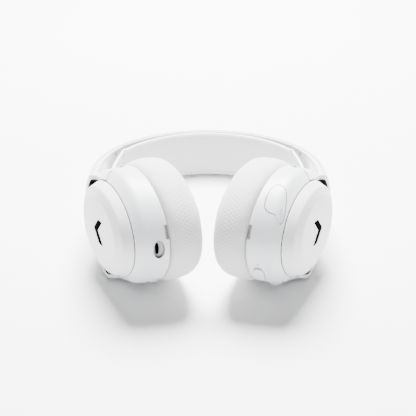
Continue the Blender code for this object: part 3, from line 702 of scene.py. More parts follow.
def make_shell(side, label):
    """The cup's moulded bowl, stepped down where the yoke lies over it."""
    matrix = cup_matrix(side)
    edges = [RECESS_BACK + step for step in (0.0, 0.12, 0.24, 0.36)]
    edges += [RECESS_FRONT - step for step in (0.36, 0.24, 0.12, 0.0)]
    spaced = [-180.0 + 2.0 * step for step in range(180)]
    apart = [degrees for degrees in spaced if min(abs(degrees - edge) for edge in edges) > 0.6]
    angles = sorted(apart + edges)
    outs = [0.35, 0.7, 1.5, 2.6, 3.8, 4.6, 4.9, 5.0, 5.1, 5.2, 5.6]
    outs += [6.6 + 0.8 * step for step in range(18)]

    def ring(out, wall, margin=0.0, drop=0.0):
        semi = semi_axes(out)
        points = []
        for degrees in angles:
            less = wall + drop + recess_depth(out, degrees, margin)
            shifted = degrees + end_shift(out, degrees)
            points.append(oval(side, out, (semi[0] - less, semi[1] - less), shifted))
        return points

    rings = [ring(20.5, wall) for wall in (24.0, 12.0, 4.0, 1.2, 0.5)]
    rings += [ring(20.45, 0.0, drop=0.22), ring(20.3, 0.0, drop=0.05)]
    rings += [ring(out, 0.0) for out in reversed(outs)]
    rings += [ring(0.12, 0.0, drop=0.1), ring(0.0, 0.0, drop=0.35), ring(0.0, 1.7), ring(0.2, SHELL_WALL)]
    rings += [ring(out, SHELL_WALL, 4.0) for out in (3.4, 4.8, 7.0, 10.0, 14.0, 17.5, SHELL_BACK)]
    shell = build("shell_" + label, *loft(rings), matrix, "shell_abs")
    # Painted shade: slot 1 (black) and slot 2 (grey) stand for the shadow in gaps, holes and recesses, not
    # for the plastic's colour.
    shell.data.materials.append(finish("black_ink"))
    shell.data.materials.append(finish("recess_abs"))
    paint_gap_shade(shell, side, matrix)
    cut_with(shell, *shell_cutters(side, matrix))
    hand_over(shell, "cup_" + label, "white_plastic", "cup_shell_" + label)


# ------------------------------------------------------------------ yoke

def crown_part(degrees):
    """0 along the yoke's flush ends, rising to 1 round its raised crown."""
    return smooth_step((84.0 - abs(degrees - YOKE_CROWN_MIDDLE)) / 26.0)


def yoke_point(side, across, along, inner):
    """A point of the yoke: across its width, along its length, on its inner or outer face."""
    degrees = YOKE_BACK + (YOKE_FRONT - YOKE_BACK) * along
    crown = crown_part(degrees)
    start = 5.98 + 6.02 * crown
    end = 20.0 + 2.9 * max(0.0, 2.0 * crown - 1.0)
    out = start + (end - start) * across
    corner = 5.0
    from_start = out - start
    tuck = corner - math.sqrt(max(corner ** 2 - max(corner - from_start, 0.0) ** 2, 0.0))
    ends = YOKE_FRONT if along > 0.5 else YOKE_BACK
    pull = math.degrees(tuck / 39.0) * max(0.0, 1.0 - abs(degrees - ends) / 20.0)
    degrees += -pull if along > 0.5 else pull
    up, front = semi_axes(min(out, 20.5))
    if inner:
        up = (1 - crown) * (up - RECESS_DEPTH + 1.0) + crown * 41.0
        front = (1 - crown) * (front - RECESS_DEPTH + 1.0) + crown * 37.6
    else:
        bulge = 0.5 * crown * math.sin(math.pi * across)
        up = (1 - crown) * up + crown * 45.0 + bulge
        front = (1 - crown) * front + crown * 41.0 + bulge
    return oval(side, out, (up, front), degrees + end_shift(out, degrees) * (1 - crown))


def make_yoke(side, label):
    """The fork round the cup, flush with the shell at its ends and raised over the top."""
    matrix = cup_matrix(side)
    widths = [0.0, 0.05] + [0.1 + 0.05 * step for step in range(17)] + [0.95, 1.0]
    count = 110
    rings = []
    for step in range(count + 1):
        along = step / count
        section = [yoke_point(side, across, along, False) for across in widths]
        section += [yoke_point(side, across, along, True) for across in reversed(widths)]
        rings.append([Vector(point) for point in rounded(section, 0.5, steps=2)])
    for end, inward in ((0, 1), (-1, -2)):
        ring = rings[end]
        middle = sum(ring, Vector()) / len(ring)
        outward = (middle - sum(rings[inward], Vector()) / len(ring)).normalized()
        cap = [point + (middle - point).normalized() * 0.25 + outward * 0.2 for point in ring]
        if end == 0:
            rings.insert(0, cap)
        else:
            rings.append(cap)
    yoke = build("fork_" + label, *loft(rings), matrix, "shell_abs")
    yoke.data.materials.append(finish("black_abs"))
    # Painted shade: the yoke's inward-facing faces take the black finish, standing for the shadow in the gap
    # over the shell.
    back = matrix.inverted()
    for face in yoke.data.polygons:
        place = back @ face.center / MM
        normal = back.to_3x3() @ face.normal
        degrees = math.degrees(math.atan2(place.z, place.y))
        facing = normal.dot(Vector((0.0, place.y, place.z)).normalized())
        limit = 0.45 if crown_part(degrees) < 0.1 else -0.3
        if facing < limit:
            face.material_index = 1
    level = box_piece("level", (side * SWIVEL_X - 30.0, ARM_END - 0.3, -60.0),
                      (side * SWIVEL_X + 30.0, 90.0, 60.0), HEAD)
    bore = rod_piece("bore", (side * SWIVEL_X, ARM_END - 12.0, 0.0), (side * SWIVEL_X, ARM_END + 4.0, 0.0),
                     1.8,
                     HEAD)
    cut_with(yoke, level, bore)
    hand_over(yoke, "yoke_" + label, "white_plastic", "yoke_" + label)


# ------------------------------------------------------------------ plate and cushion

def make_plate(side, label):
    """The outer plate: a sloping side, a bevel and a flat oval face, all softly eased."""
    face = PLATE_LINE[-1]
    line = [(face[0], face[1] - 6.0, face[2] - 6.0)] + list(reversed(PLATE_LINE))
    line += [(20.95, 38.9, 30.9), (21.0, 37.7, 29.7)]
    outer = rounded(line, 1.1, steps=5, closed=False)
    inner = ((26.8, 34.3, 27.1), (28.4, 27.9, 22.2))
    centre = [(face[0] + 0.15 * (1.0 - scale ** 2), face[1] * scale, face[2] * scale)
              for scale in (0.04, 0.15, 0.3, 0.45, 0.6, 0.72)]
    profile = centre + [tuple(point) for point in outer] + list(inner)
    plate = oval_turning("plate_" + label, side, profile, cup_matrix(side), "plate_abs")
    hand_over(plate, "cup_" + label, "white_plastic", "speaker_plate_" + label)
    make_mark(side, label)


def make_mark(side, label):
    """A plain upright chevron, printed in black a hair above the plate."""
    half_width = 8.5
    rise = 4.2
    stroke = 6.4
    face = PLATE_LINE[-1][0] + 0.12
    outline = ((rise + stroke / 2, 0.0), (-rise + stroke / 2, half_width), (-rise - stroke / 2, half_width),
               (rise - stroke / 2, 0.0), (-rise - stroke / 2, -half_width), (-rise + stroke / 2, -half_width))
    eased = rounded(outline, 0.9, steps=4)
    count = len(eased)
    points = [(side * (face + lift), up, front) for lift in (-0.5, 0.3) for up, front in eased]
    faces = [tuple(range(count)), tuple(range(count, 2 * count))]
    faces += [(index, (index + 1) % count, count + (index + 1) % count,
               count + index) for index in range(count)]
    mark = build("mark_" + label, points, faces, cup_matrix(side), "black_ink")
    hand_over(mark, "cup_" + label, "black_plastic", "plate_mark_" + label)


CUSHION_DEPTH = 25.0
CUSHION_OUTER = (50.9, 41.3)
CUSHION_HOLE = (30.0, 21.0)


def cushion_point(side, turn, round_part, shrink):
    """A point of the cushion's ring: turn round the ear, round_part round the ring's own section."""
    angle = 2.0 * math.pi * round_part
    across = math.copysign(abs(math.cos(angle)) ** 0.62, math.cos(angle))
    along = math.copysign(abs(math.sin(angle)) ** 0.62, math.sin(angle))
    out = -CUSHION_DEPTH / 2.0 - 0.4 + (CUSHION_DEPTH / 2.0 - 0.35 - shrink) * along
    semi = []
    for outer, hole in zip(CUSHION_OUTER, CUSHION_HOLE):
        semi.append((outer + hole) / 2.0 + ((outer - hole) / 2.0 - shrink) * across)
    return oval(side, out, semi, 360.0 * turn)


def swell(item, most):
    """Let the foam push the cover out: cloth under pressure, each point held to a greatest move."""
    rest = np.array([vertex.co for vertex in item.data.vertices])
    cloth = item.modifiers.new("cloth", "CLOTH")
    cloth.settings.quality = 5
    cloth.settings.use_pressure = True
    cloth.settings.uniform_pressure_force = 4.0
    cloth.settings.tension_stiffness = 30.0
    cloth.settings.compression_stiffness = 30.0
    cloth.settings.effector_weights.gravity = 0.0
    cloth.point_cache.frame_start = 1
    cloth.point_cache.frame_end = 20
    scene = bpy.context.scene
    for step in range(1, 21):
        scene.frame_set(step)
    bake(item)
    scene.frame_set(1)
    moved = np.array([vertex.co for vertex in item.data.vertices])
    away = moved - rest
    length = np.linalg.norm(away, axis=1, keepdims=True)
    held = rest + away * np.minimum(1.0, most / np.maximum(length, 1e-9))
    item.data.vertices.foreach_set("co", held.ravel())
    item.data.update()


def make_cushion(side, label):
    """The ear cushion: a foam ring swollen inside its cover, then knitted over in diamonds."""
    sizes = bpy.context.scene.headset_sizes
    matrix = cup_matrix(side)
    start_shrink = 1.2
    around, section = 96, 28
    rings = [[cushion_point(side, turn / around, part / section, start_shrink) for part in range(section)]
             for turn in range(around)]
    core = build("cushion_core", *loft(rings, wrap=True), matrix, None)
    remesh = core.modifiers.new("remesh", "REMESH")
    remesh.mode = "VOXEL"
    remesh.voxel_size = 0.004
    bake(core)
    swell(core, sizes.cushion_swell)
    core.modifiers.new("ease", "SUBSURF").levels = 1
    bake(core)
    core_mesh = core.data
    surface = BVHTree.FromPolygons([vertex.co for vertex in core_mesh.vertices],
                                   [tuple(face.vertices) for face in core_mesh.polygons])
    cushion = knit_cover("cushion_knit_" + label, side, matrix, surface, around, section)
    bpy.data.objects.remove(core, do_unlink=True)
    hand_over(cushion, "cup_" + label, "knit_fabric", "cushion_" + label)


def knit_cover(name, side, matrix, surface, around, section):
    """An even net of points laid on the swollen foam, eased, then raised into diamonds."""
    sizes = bpy.context.scene.headset_sizes
    points = np.zeros((around, section, 3))
    shrink = 0.0
    for turn in range(around):
        for part in range(section):
            point = matrix @ (cushion_point(side, turn / around, part / section, shrink) * MM)
            points[turn, part] = surface.find_nearest(point)[0]
    for _ in range(2):
        points = 0.5 * points + 0.125 * (np.roll(points, 1, 0) + np.roll(points, -1, 0)
                                         + np.roll(points, 1, 1) + np.roll(points, -1, 1))
    back = matrix.inverted()
    local = np.array([back @ Vector(point) for point in points.reshape(-1, 3)])
    local = fill_section(local, side)
    fine = net_refined(local.reshape(around, section, 3), 5)
    rows, columns = fine.shape[:2]
    u = np.arange(rows)[:, None] * around / rows
    v = np.arange(columns)[None, :] * section / columns
    rising = np.abs(((u + v) % 1.0) - 0.5)
    falling = np.abs(((u - v) % 1.0) - 0.5)
    relief = np.cos(np.pi * np.clip(np.maximum(rising, falling), 0.0, 0.5)) - 0.6 * (
        np.clip((np.minimum(rising, falling) - 0.3) / 0.2, 0.0, 1.0) ** 2)
    along = np.roll(fine, -1, 0) - np.roll(fine, 1, 0)
    across = np.roll(fine, -1, 1) - np.roll(fine, 1, 1)
    normal = np.cross(along, across)
    normal /= np.linalg.norm(normal, axis=2, keepdims=True)
    middle = fine.mean(axis=1, keepdims=True)
    if np.sum(normal * (fine - middle)) < 0:
        normal = -normal
    fine = fine + normal * (relief * sizes.knit_depth)[..., None]
    rings = [[Vector(point) / MM for point in row] for row in fine]
    cushion = build(name, *loft(rings, wrap=True), matrix, "cushion_knit", sharp=180.0)
    add_net_uv(cushion, rows, columns, around, section)
    return cushion


def fill_section(points, side):
    """Stretch the eased net back to the cushion's full height, depth and thickness."""
    full = ((-CUSHION_DEPTH - 0.2, -0.3), (-CUSHION_OUTER[0], CUSHION_OUTER[0]),
            (-CUSHION_OUTER[1] + 1.5, CUSHION_OUTER[1]))
    made = points.copy()
    made[:, 0] *= side
    for axis, (low, high) in enumerate(full):
        values = made[:, axis]
        part = (values - values.min()) / (values.max() - values.min())
        made[:, axis] = (low + (high - low) * part) * MM
    made[:, 0] *= side
    return made


def net_refined(net, times):
    """The same closed net with times as many rows and columns, on a smooth curve through its points."""
    for axis in (0, 1):
        shape = list(net.shape)
        shape[axis] *= times
        made = np.zeros(shape)
        for step in range(times):
            part = step / times
            p0, p1, p2, p3 = (np.roll(net, shift, axis) for shift in (1, 0, -1, -2))
            value = (p0 * (1 - part) ** 3 + p1 * (3 * part ** 3 - 6 * part ** 2 + 4)
                     + p2 * (-3 * part ** 3 + 3 * part ** 2 + 3 * part + 1) + p3 * part ** 3) / 6.0
            if axis == 0:
                made[step::times] = value
            else:
                made[:, step::times] = value
        net = made
    return net


def add_net_uv(item, rows, columns, around, section):
    """A UV map that counts knit cells round the cushion and round its section."""
    mesh = item.data
    layer = mesh.uv_layers.new(name="knit")
    index = np.zeros(len(mesh.loops), int)
    mesh.loops.foreach_get("vertex_index", index)
    starts = np.zeros(len(mesh.polygons), int)
    mesh.polygons.foreach_get("loop_start", starts)
    totals = np.zeros(len(mesh.polygons), int)
    mesh.polygons.foreach_get("loop_total", totals)
    face = np.repeat(np.arange(len(starts)), totals)
    values = np.stack([index // columns * (around / rows), index % columns * (section / columns)], axis=1)
    for axis, period in ((0, around), (1, section)):
        first = values[starts, axis][face]
        gap = values[:, axis] - first
        values[:, axis] -= period * np.round(gap / period)
    layer.data.foreach_set("uv", values.astype(np.float32).ravel())


def make_speaker_cloth(side, label):
    """The cloth over the loudspeaker, stretched in a shallow dome inside the cushion."""
    half_up, half_front = 30.8, 21.8
    scales = (0.03, 0.2, 0.4, 0.6, 0.8, 0.92, 1.0)
    top = [(0.5 - 0.5 * (1.0 - scale ** 2), half_up * scale, half_front * scale) for scale in scales]
    bottom = [(1.1 - 0.3 * (1.0 - scale ** 2), half_up * scale,
               half_front * scale) for scale in reversed(scales)]
    cloth = oval_turning("acoustic_cloth_" + label, side, top + bottom, cup_matrix(side), "acoustic_cloth",
                         96)
    hand_over(cloth, "cup_" + label, "black_cloth", "speaker_cloth_" + label)


# ------------------------------------------------------------------ headband

def arch_place(station):
    """Place and inward direction on the outer arch: ("leg", side, y) or ("arc", degrees)."""
    if station[0] == "leg":
        return Vector((station[1] * ARCH_HALF_WIDTH, station[2], 0.0)), Vector((-station[1], 0.0, 0.0))
    angle = math.radians(station[1])
    rise = ARCH_TOP - ARCH_SPRING_LINE
    place = Vector((ARCH_HALF_WIDTH * math.cos(angle), ARCH_SPRING_LINE + rise * math.sin(angle), 0.0))
    return place, -Vector((math.cos(angle) / ARCH_HALF_WIDTH, math.sin(angle) / rise, 0.0)).normalized()


def arch_point(station, inset, depth):
    """A point at a station of the arch, inset from its outside and moved to the front by depth."""
    place, inward = arch_place(station)
    return place + inward * inset + Vector((0.0, 0.0, depth))


def arc_stations(first, last, count):
    """Evenly spaced stations along the curved part of the arch, in degrees."""
    return [("arc", first + (last - first) * step / count) for step in range(count + 1)]


def mirrored(side, degrees):
    """The angle for one side of the arch: as given on the left, mirrored on the right."""
    return degrees if side > 0 else 180.0 - degrees


def arch_strip(name, stations, outline, material):
    """A strip that follows the arch; outline gives (inset, depth) points at a share of its length."""
    rings = []
    for index, station in enumerate(stations):
        section = outline(index / (len(stations) - 1))
        rings.append([arch_point(station, inset, depth) for inset, depth in section])
    return build(name, *loft(rings), HEAD, material)


def plain_section(near, far, half, ease, steps=4):
    """A rectangle across the arch with eased corners and enough points to bend evenly."""
    count = 8
    outline = [(near, -half + 2 * half * step / count) for step in range(count + 1)]
    outline += [(far, half - 2 * half * step / count) for step in range(count + 1)]
    return rounded(outline, ease, steps)


def make_cover():
    """The outer cover: one thin arch over the head that carries on down both arms."""
    legs = [ARM_END, 32.2, 36.0, 41.0, 46.0, 50.5]
    stations = [("leg", 1, y) for y in legs] + arc_stations(0.0, 180.0, 140)
    stations += [("leg", -1, y) for y in reversed(legs)]
    crown = 0.35

    def section(_):
        outline = plain_section(0.0, 1.7, BAND_HALF_DEPTH, 0.55)
        return [(inset - crown * (1.0 - (depth / BAND_HALF_DEPTH) ** 2) * (1.0 if inset < 0.9 else 0.0),
                 depth)
                for inset, depth in outline]

    cover = arch_strip("cover", stations, section, "band_abs")
    hand_over(cover, "headband", "white_plastic", "headband_cover")
    liner = arch_strip("liner", arc_stations(37.0, 143.0, 90),
                       lambda _: plain_section(2.75, 3.8, BAND_HALF_DEPTH - 0.4, 0.4), "band_abs")
    rims = []
    for sign in (1, -1):
        low, high = sorted((sign * 11.4, sign * (BAND_HALF_DEPTH - 0.4)))
        middle, half = (low + high) / 2, (high - low) / 2
        rims.append(arch_strip("liner_rim_" + ("front" if sign > 0 else "back"),
                               arc_stations(37.0, 143.0, 90),
                               lambda _, m=middle,
                               h=half: [(i, d + m) for i, d in plain_section(2.0, 2.74, h, 0.2)],
                               "band_abs"))
    hand_over(liner, "headband", "white_plastic", "headband_liner")
    for rim in rims:
        hand_over(rim, "headband", "white_plastic")


def strap_inset(degrees):
    """How far the strap hangs inside the arch: least at the top, most where it meets its ends."""
    return 4.5 + 4.5 * abs(math.cos(math.radians(degrees))) ** 2


def strap_strip(name, angles, halves, near, far, ease, material):
    """A strip in the strap's own hanging line."""
    rings = []
    for degrees, half in zip(angles, halves):
        outline = plain_section(near, far, half, ease)
        rings.append([arch_point(("arc", degrees), strap_inset(degrees) + inset, depth) for inset,
                      depth in outline])
    return build(name, *loft(rings), HEAD, material)


def strap_uv(item):
    """A UV map in millimetres along the strap and across it."""
    back = HEAD.inverted()
    layer = item.data.uv_layers.new(name="knit")
    for loop in item.data.loops:
        place = back @ item.data.vertices[loop.vertex_index].co / MM
        turn = math.atan2((place.y - ARCH_SPRING_LINE) / (ARCH_TOP - ARCH_SPRING_LINE),
                          place.x / ARCH_HALF_WIDTH)
        layer.data[loop.index].uv = (turn * 86.0, place.z)


def make_strap():
    """The knitted suspension strap, its rolled hems and stitches, and its two moulded ends."""
    sizes = bpy.context.scene.headset_sizes
    first, last, count = 32.0, 148.0, 90
    angles = [first + (last - first) * step / count for step in range(count + 1)]
    hem = sizes.strap_hem / MM
    edge = 17.8
    strap = strap_strip("strap_knit", angles, [edge - hem] * (count + 1), 0.25, 1.75, 0.4, "strap_knit")
    strap_uv(strap)
    hand_over(strap, "headband", "knit_fabric", "headband_strap")
    for sign, label in ((1, "front"), (-1, "back")):
        line = [arch_point(("arc", degrees), strap_inset(degrees) + 1.0,
                           sign * (edge - hem)) for degrees in angles]
        rings = []
        for index, point in enumerate(line):
            along = (line[min(index + 1, count)] - line[max(index - 1, 0)]).normalized()
            inward = arch_place(("arc", angles[index]))[1]
            deep = along.cross(inward)
            rings.append([point + (inward * math.cos(turn) * 1.15 + deep * math.sin(turn)) * hem
                          for turn in (2.0 * math.pi * step / 16 for step in range(16))])
        roll = build("strap_hem_" + label, *loft(rings), HEAD, "hem_braid")
        strap_uv(roll)
        hand_over(roll, "headband", "knit_fabric")
        make_stitches(label, [point - Vector((0, 0, sign * (hem + 0.9))) for point in line], angles)
    for side, label in SIDES:
        make_strap_end(side, label)


def make_strap_end(side, label):
    """A strap anchor: a thin moulded trapezium with a raised rim, narrowing towards the arm."""
    taper = ((31.7, 18.0), (31.0, 17.9), (29.0, 16.6), (27.0, 15.4), (24.0, 13.5), (21.0, 11.7), (18.5, 10.1),
             (16.8, 9.0), (16.3, 8.2))
    angles = [mirrored(side, degrees) for degrees, _ in taper]
    halves = [half for _, half in taper]
    anchor = strap_strip("strap_anchor_" + label, angles, halves, -0.3, 1.5, 0.5, "band_abs")
    hand_over(anchor, "headband", "white_plastic", "strap_end_" + label)
    rim = strap_strip("strap_anchor_band_" + label,
                      [mirrored(side, d) for d in (33.0, 32.6, 31.9, 31.2, 30.7)],
                      [18.1, 18.3, 18.35, 18.3, 18.1], -0.1, 2.25, 0.6, "band_abs")
    hand_over(rim, "headband", "white_plastic")
    for sign, place in ((1, "front"), (-1, "back")):
        line = [arch_point(("arc", mirrored(side, degrees)), strap_inset(degrees) + 1.5, sign * (half - 0.9))
                for degrees, half in taper[1:]]
        rings = []
        for index, point in enumerate(line):
            ahead = line[min(index + 1, len(line) - 1)] - line[max(index - 1, 0)]
            along = ahead.normalized()
            inward = arch_place(("arc", mirrored(side, taper[index + 1][0])))[1]
            deep = along.cross(inward).normalized()
            rings.append([point + inward * math.cos(turn) * 0.55 + deep * math.sin(turn) * 0.75
                          for turn in (2.0 * math.pi * step / 12 for step in range(12))])
        edge = build("strap_anchor_rim_" + label + "_" + place, *loft(rings), HEAD, "band_abs")
        hand_over(edge, "headband", "white_plastic")


def make_arm(side, label):
    """An arm's inner half: a thin lip front and back, and a polished scoop up to its thicker middle."""
    half = BAND_HALF_DEPTH - 0.4
    near = 2.0
    walls = ((-22.8, 5.5, 8.2), (-11.0, 5.5, 8.2), (0.0, 5.7, 8.2), (7.0, 5.8, 8.0), (14.0, 5.6, 7.2),
             (18.0, 5.3, 6.2), (24.0, 4.8, 5.2), (36.4, 3.8, 4.0))
    keys = [wall[0] for wall in walls]
    stations = [("leg", side, y) for y in (31.7, 32.0, 36.0, 40.0, 44.0, 48.0, 52.0)]
    stations += [("arc", mirrored(side, 0.9 * step)) for step in range(41)]
    rings = []
    for station in stations:
        if station[0] == "leg":
            key = station[2] - ARCH_SPRING_LINE
        else:
            key = mirrored(side, station[1])
        edge = float(np.interp(key, keys, [wall[1] for wall in walls]))
        middle = float(np.interp(key, keys, [wall[2] for wall in walls]))
        face = []
        for step in range(25):
            share = -1.0 + 2.0 * step / 24
            rise = smooth_step((0.93 - abs(share)) / 0.62)
            face.append((edge + (middle - edge) * rise, share * half))
        groove = [(edge - 0.45, 0.0), (edge - 0.45, 0.3), (edge, 0.36)]
        face[1:1] = [(inset, -half + 0.75 + step) for inset, step in [(edge, -0.06)] + groove]
        face[-1:-1] = [(inset, half - 0.75 - step) for inset, step in reversed([(edge, -0.06)] + groove)]
        outline = [(near, half), (near, half * 0.5), (near, 0.0), (near, -half * 0.5), (near, -half)] + face
        section = rounded(outline, 0.25, 2)
        ease = 0.4 if station == stations[0] else 0.0
        rings.append([arch_point(station, inset, depth * (1 - ease / 40.0)) for inset, depth in section])
    arm = build("arm_face_" + label, *loft(rings), HEAD, "polished_abs")
    gap = 0.3
    slot = box_piece("slot", (side * SWIVEL_X - 0.7 - gap, ARM_END - 2.0, -8.0 - gap),
                     (side * SWIVEL_X + 0.7 + gap, 67.5, 8.0 + gap), HEAD)
    pocket = box_piece("pocket", (side * SWIVEL_X - 2.6, ARM_END - 2.4, -6.0),
                       (side * SWIVEL_X + 2.6, ARM_END + 8.57, 6.0), HEAD)
    screw_station = ("arc", mirrored(side, 12.5))
    place, inward = arch_place(screw_station)
    seat = place + inward * 6.2
    hole = rod_piece("screw_hole", seat - inward * 2.2, seat + inward * 6.0, 1.3, HEAD)
    front_place, front_inward = arch_place(("arc", mirrored(side, 28.2)))
    front_seat = front_place + front_inward * 4.3 + Vector((0.0, 0.0, 15.4))
    front_hole = rod_piece("front_hole", front_seat - front_inward * 1.6, front_seat + front_inward * 6.0,
                           1.35, HEAD)
    cut_with(arm, pocket, slot, hole, front_hole)
    front_screw = rod_piece("front_screw_" + label, front_seat - front_inward * 1.5,
                            front_seat - front_inward * 0.7,
                            1.2, HEAD, "black_abs", 24, 0.2)
    hand_over(front_screw, "headband", "steel")
    hand_over(arm, "headband", "white_gloss", "arm_" + label)
    screw = rod_piece("screw_" + label, seat - inward * 1.9, seat + inward * 0.4, 1.0, HEAD, "black_abs",
                      24, 0.2)
    drive = rod_piece("drive", seat - inward * 0.1, seat + inward * 2.0, 0.45, HEAD, sides=6)
    cut_with(screw, drive)
    hand_over(screw, "headband", "steel", "arm_screw_" + label)


# ------------------------------------------------------------------ controls

def make_left_controls():
    """Microphone cap and boom, mute button and volume wheel on the wearer's left."""
    matrix = cup_matrix(1)
    direction = wall_direction(130.0)
    cap = wall_plug("microphone_cap", 1, MIC_CAP_OUTLINE, direction, 0.0, 2.4, matrix, "shell_abs", ease=0.3)
    hand_over(cap, "microphone", "white_plastic", "mic_cap")
    make_mic_ribs(matrix, direction)
    middle = shell_point(1, 13.2, 130.0)
    boom = rod_piece("microphone_boom", middle - direction * 2.3, middle - direction * 52.0, 2.1, matrix,
                     "black_abs", 32, 0.5)
    hand_over(boom, "microphone", "black_plastic", "mic_boom")
    mute = wall_plug("mute_key", 1, MUTE_OUTLINE, wall_direction(212.6), 1.1, 3.4, matrix, "shell_abs",
                     ease=0.6)
    hand_over(mute, "mute_button", "white_plastic", "mute_button")
    profile = ((-1.5, 0.4), (-1.5, 4.0), (-1.45, WHEEL_RADIUS - 0.75), (-1.2, WHEEL_RADIUS - 0.45),
               (-0.9, WHEEL_RADIUS - 0.35), (0.9, WHEEL_RADIUS - 0.35), (1.2, WHEEL_RADIUS - 0.45),
               (1.45, WHEEL_RADIUS - 0.75), (1.5, 4.0), (1.5, 0.4))
    wheel = wheel_turning("volume_roller", profile, "shell_abs")
    hand_over(wheel, "volume_wheel", "white_plastic", "volume_wheel")
    make_wheel_ribs()


def make_right_controls():
    """Power button, status light and charging inlet on the wearer's right."""
    matrix = cup_matrix(-1)
    power = wall_plug("power_key", -1, POWER_OUTLINE, wall_direction(232.5), 0.9, 1.3, matrix, "shell_abs",
                      ease=0.5)
    hand_over(power, "power_button", "white_plastic", "power_button")
    light = wall_plug("status_lens", -1, LIGHT_OUTLINE, wall_direction(239.0), 0.5, 2.4, matrix,
                      "acrylic_light",
                      ease=0.25)
    hand_over(light, "cup_right", "light", "status_light")
    direction = wall_direction(180.0)
    # Painted shade: the grey floor of the charging recess stands for the shadow in it.
    liner = wall_plug("inlet_floor", -1, pill(3.0, 10.0, 171.0, 189.0, corner=0.98, points=9), direction,
                      -2.0,
                      2.75, matrix, "recess_abs", ease=0.1)
    body = wall_plug("inlet_mouth", -1, USB_MOUTH_OUTLINE, direction, 2.0, 3.6, matrix, None)
    cut_with(liner, body)
    hand_over(liner, "cup_right", "grey_plastic")
    socket = wall_plug("inlet_socket", -1, USB_BODY_OUTLINE, direction, -2.85, 8.4, matrix, "black_ink",
                       ease=0.1)
    mouth = wall_plug("socket_mouth", -1, USB_MOUTH_OUTLINE, direction, 3.0, 7.4, matrix, None)
    cut_with(socket, mouth)
    hand_over(socket, "cup_right", "black_plastic", "usb_socket")
    tongue = wall_plug("inlet_tongue", -1, pill(6.7, 7.4, 175.5, 184.5, corner=0.5), direction, -4.4, 7.8,
                       matrix,
                       "black_ink", ease=0.1)
    hand_over(tongue, "cup_right", "black_plastic")


# ------------------------------------------------------------------ what repeats: Geometry Nodes

def new_tree(name, inputs):
    """A Geometry Nodes tree with a geometry input and output and named inputs for its sizes."""
    tree = bpy.data.node_groups.new(name, "GeometryNodeTree")
    tree.interface.new_socket("Geometry", in_out="INPUT", socket_type="NodeSocketGeometry")
    identifiers = {}
    for label, kind, value in inputs:
        socket = tree.interface.new_socket(label, in_out="INPUT", socket_type=kind)
        if value is not None:
            socket.default_value = value
        identifiers[label] = socket.identifier
    tree.interface.new_socket("Geometry", in_out="OUTPUT", socket_type="NodeSocketGeometry")
    start = add_node(tree, "NodeGroupInput")
    end = add_node(tree, "NodeGroupOutput")
    return tree, start, end, identifiers


def repeat_along(name, line, spacing, size, material, up):
    """Small eased bars set at equal distances along a line, each turned to lie across it."""
    curve = bpy.data.curves.new(name, "CURVE")
    curve.dimensions = "3D"
    spline = curve.splines.new("POLY")
    spline.points.add(len(line) - 1)
    for point, place in zip(spline.points, line):
        point.co = (*place, 1.0)
    item = bpy.data.objects.new(name, curve)
    bpy.context.scene.collection.objects.link(item)
    tree, start, end, sockets = new_tree(name, (("Spacing", "NodeSocketFloat", spacing),
                                                ("Size", "NodeSocketVector", size),
                                                ("Up", "NodeSocketVector", tuple(up)),
                                                ("Material", "NodeSocketMaterial", None)))
    places = add_node(tree, "GeometryNodeCurveToPoints", {"Curve": start.outputs["Geometry"],
                                                          "Length": start.outputs["Spacing"]}, mode="LENGTH")
    lean = add_node(tree, "FunctionNodeAlignRotationToVector", {"Rotation": places.outputs["Rotation"],
                                                                "Vector": start.outputs["Up"]},
                    axis="X", pivot_axis="Z")
    ball = add_node(tree, "GeometryNodeMeshUVSphere", {"Segments": 8, "Rings": 6, "Radius": 0.5})
    spread = add_node(tree, "GeometryNodeInstanceOnPoints", {"Points": places.outputs["Points"],
                                                             "Instance": ball.outputs["Mesh"],
                                                             "Rotation": lean.outputs["Rotation"],
                                                             "Scale": start.outputs["Size"]})
    real = add_node(tree, "GeometryNodeRealizeInstances", {"Geometry": spread.outputs["Instances"]})
    smooth = add_node(tree, "GeometryNodeSetShadeSmooth", {"Geometry": real.outputs["Geometry"]})
    painted = add_node(tree, "GeometryNodeSetMaterial", {"Geometry": smooth.outputs["Geometry"],
                                                         "Material": start.outputs["Material"]})
    tree.links.new(painted.outputs["Geometry"], end.inputs["Geometry"])
    return realised(item, name, tree, {sockets["Spacing"]: spacing, sockets["Size"]: size,
                                       sockets["Up"]: tuple(up), sockets["Material"]: finish(material)})


def realised(item, name, tree, values):
    """Run a tree on an object and keep the plain mesh that it makes."""
    modifier = item.modifiers.new(name, "NODES")
    modifier.node_group = tree
    for identifier, value in values.items():
        modifier[identifier] = value
    bpy.context.view_layer.update()
    graph = bpy.context.evaluated_depsgraph_get()
    mesh = bpy.data.meshes.new_from_object(item.evaluated_get(graph), depsgraph=graph)
    bpy.data.objects.remove(item, do_unlink=True)
    made = bpy.data.objects.new(name, mesh)
    bpy.context.scene.collection.objects.link(made)
    return made


def make_stitches(label, line, angles):
    """The lockstitch that holds each hem, lying on the strap's inner face."""
    sizes = bpy.context.scene.headset_sizes
    lifted = []
    for point, degrees in zip(line, angles):
        inward = arch_place(("arc", degrees))[1]
        lifted.append(HEAD @ ((point + inward * 0.78) * MM))
    stitches = repeat_along("strap_stitches_" + label, lifted[1:-1], sizes.strap_stitch,
                            (0.00045, 0.0004, sizes.strap_stitch * 0.72), "hem_braid", FRONT)
    hand_over(stitches, "headband", "knit_fabric")


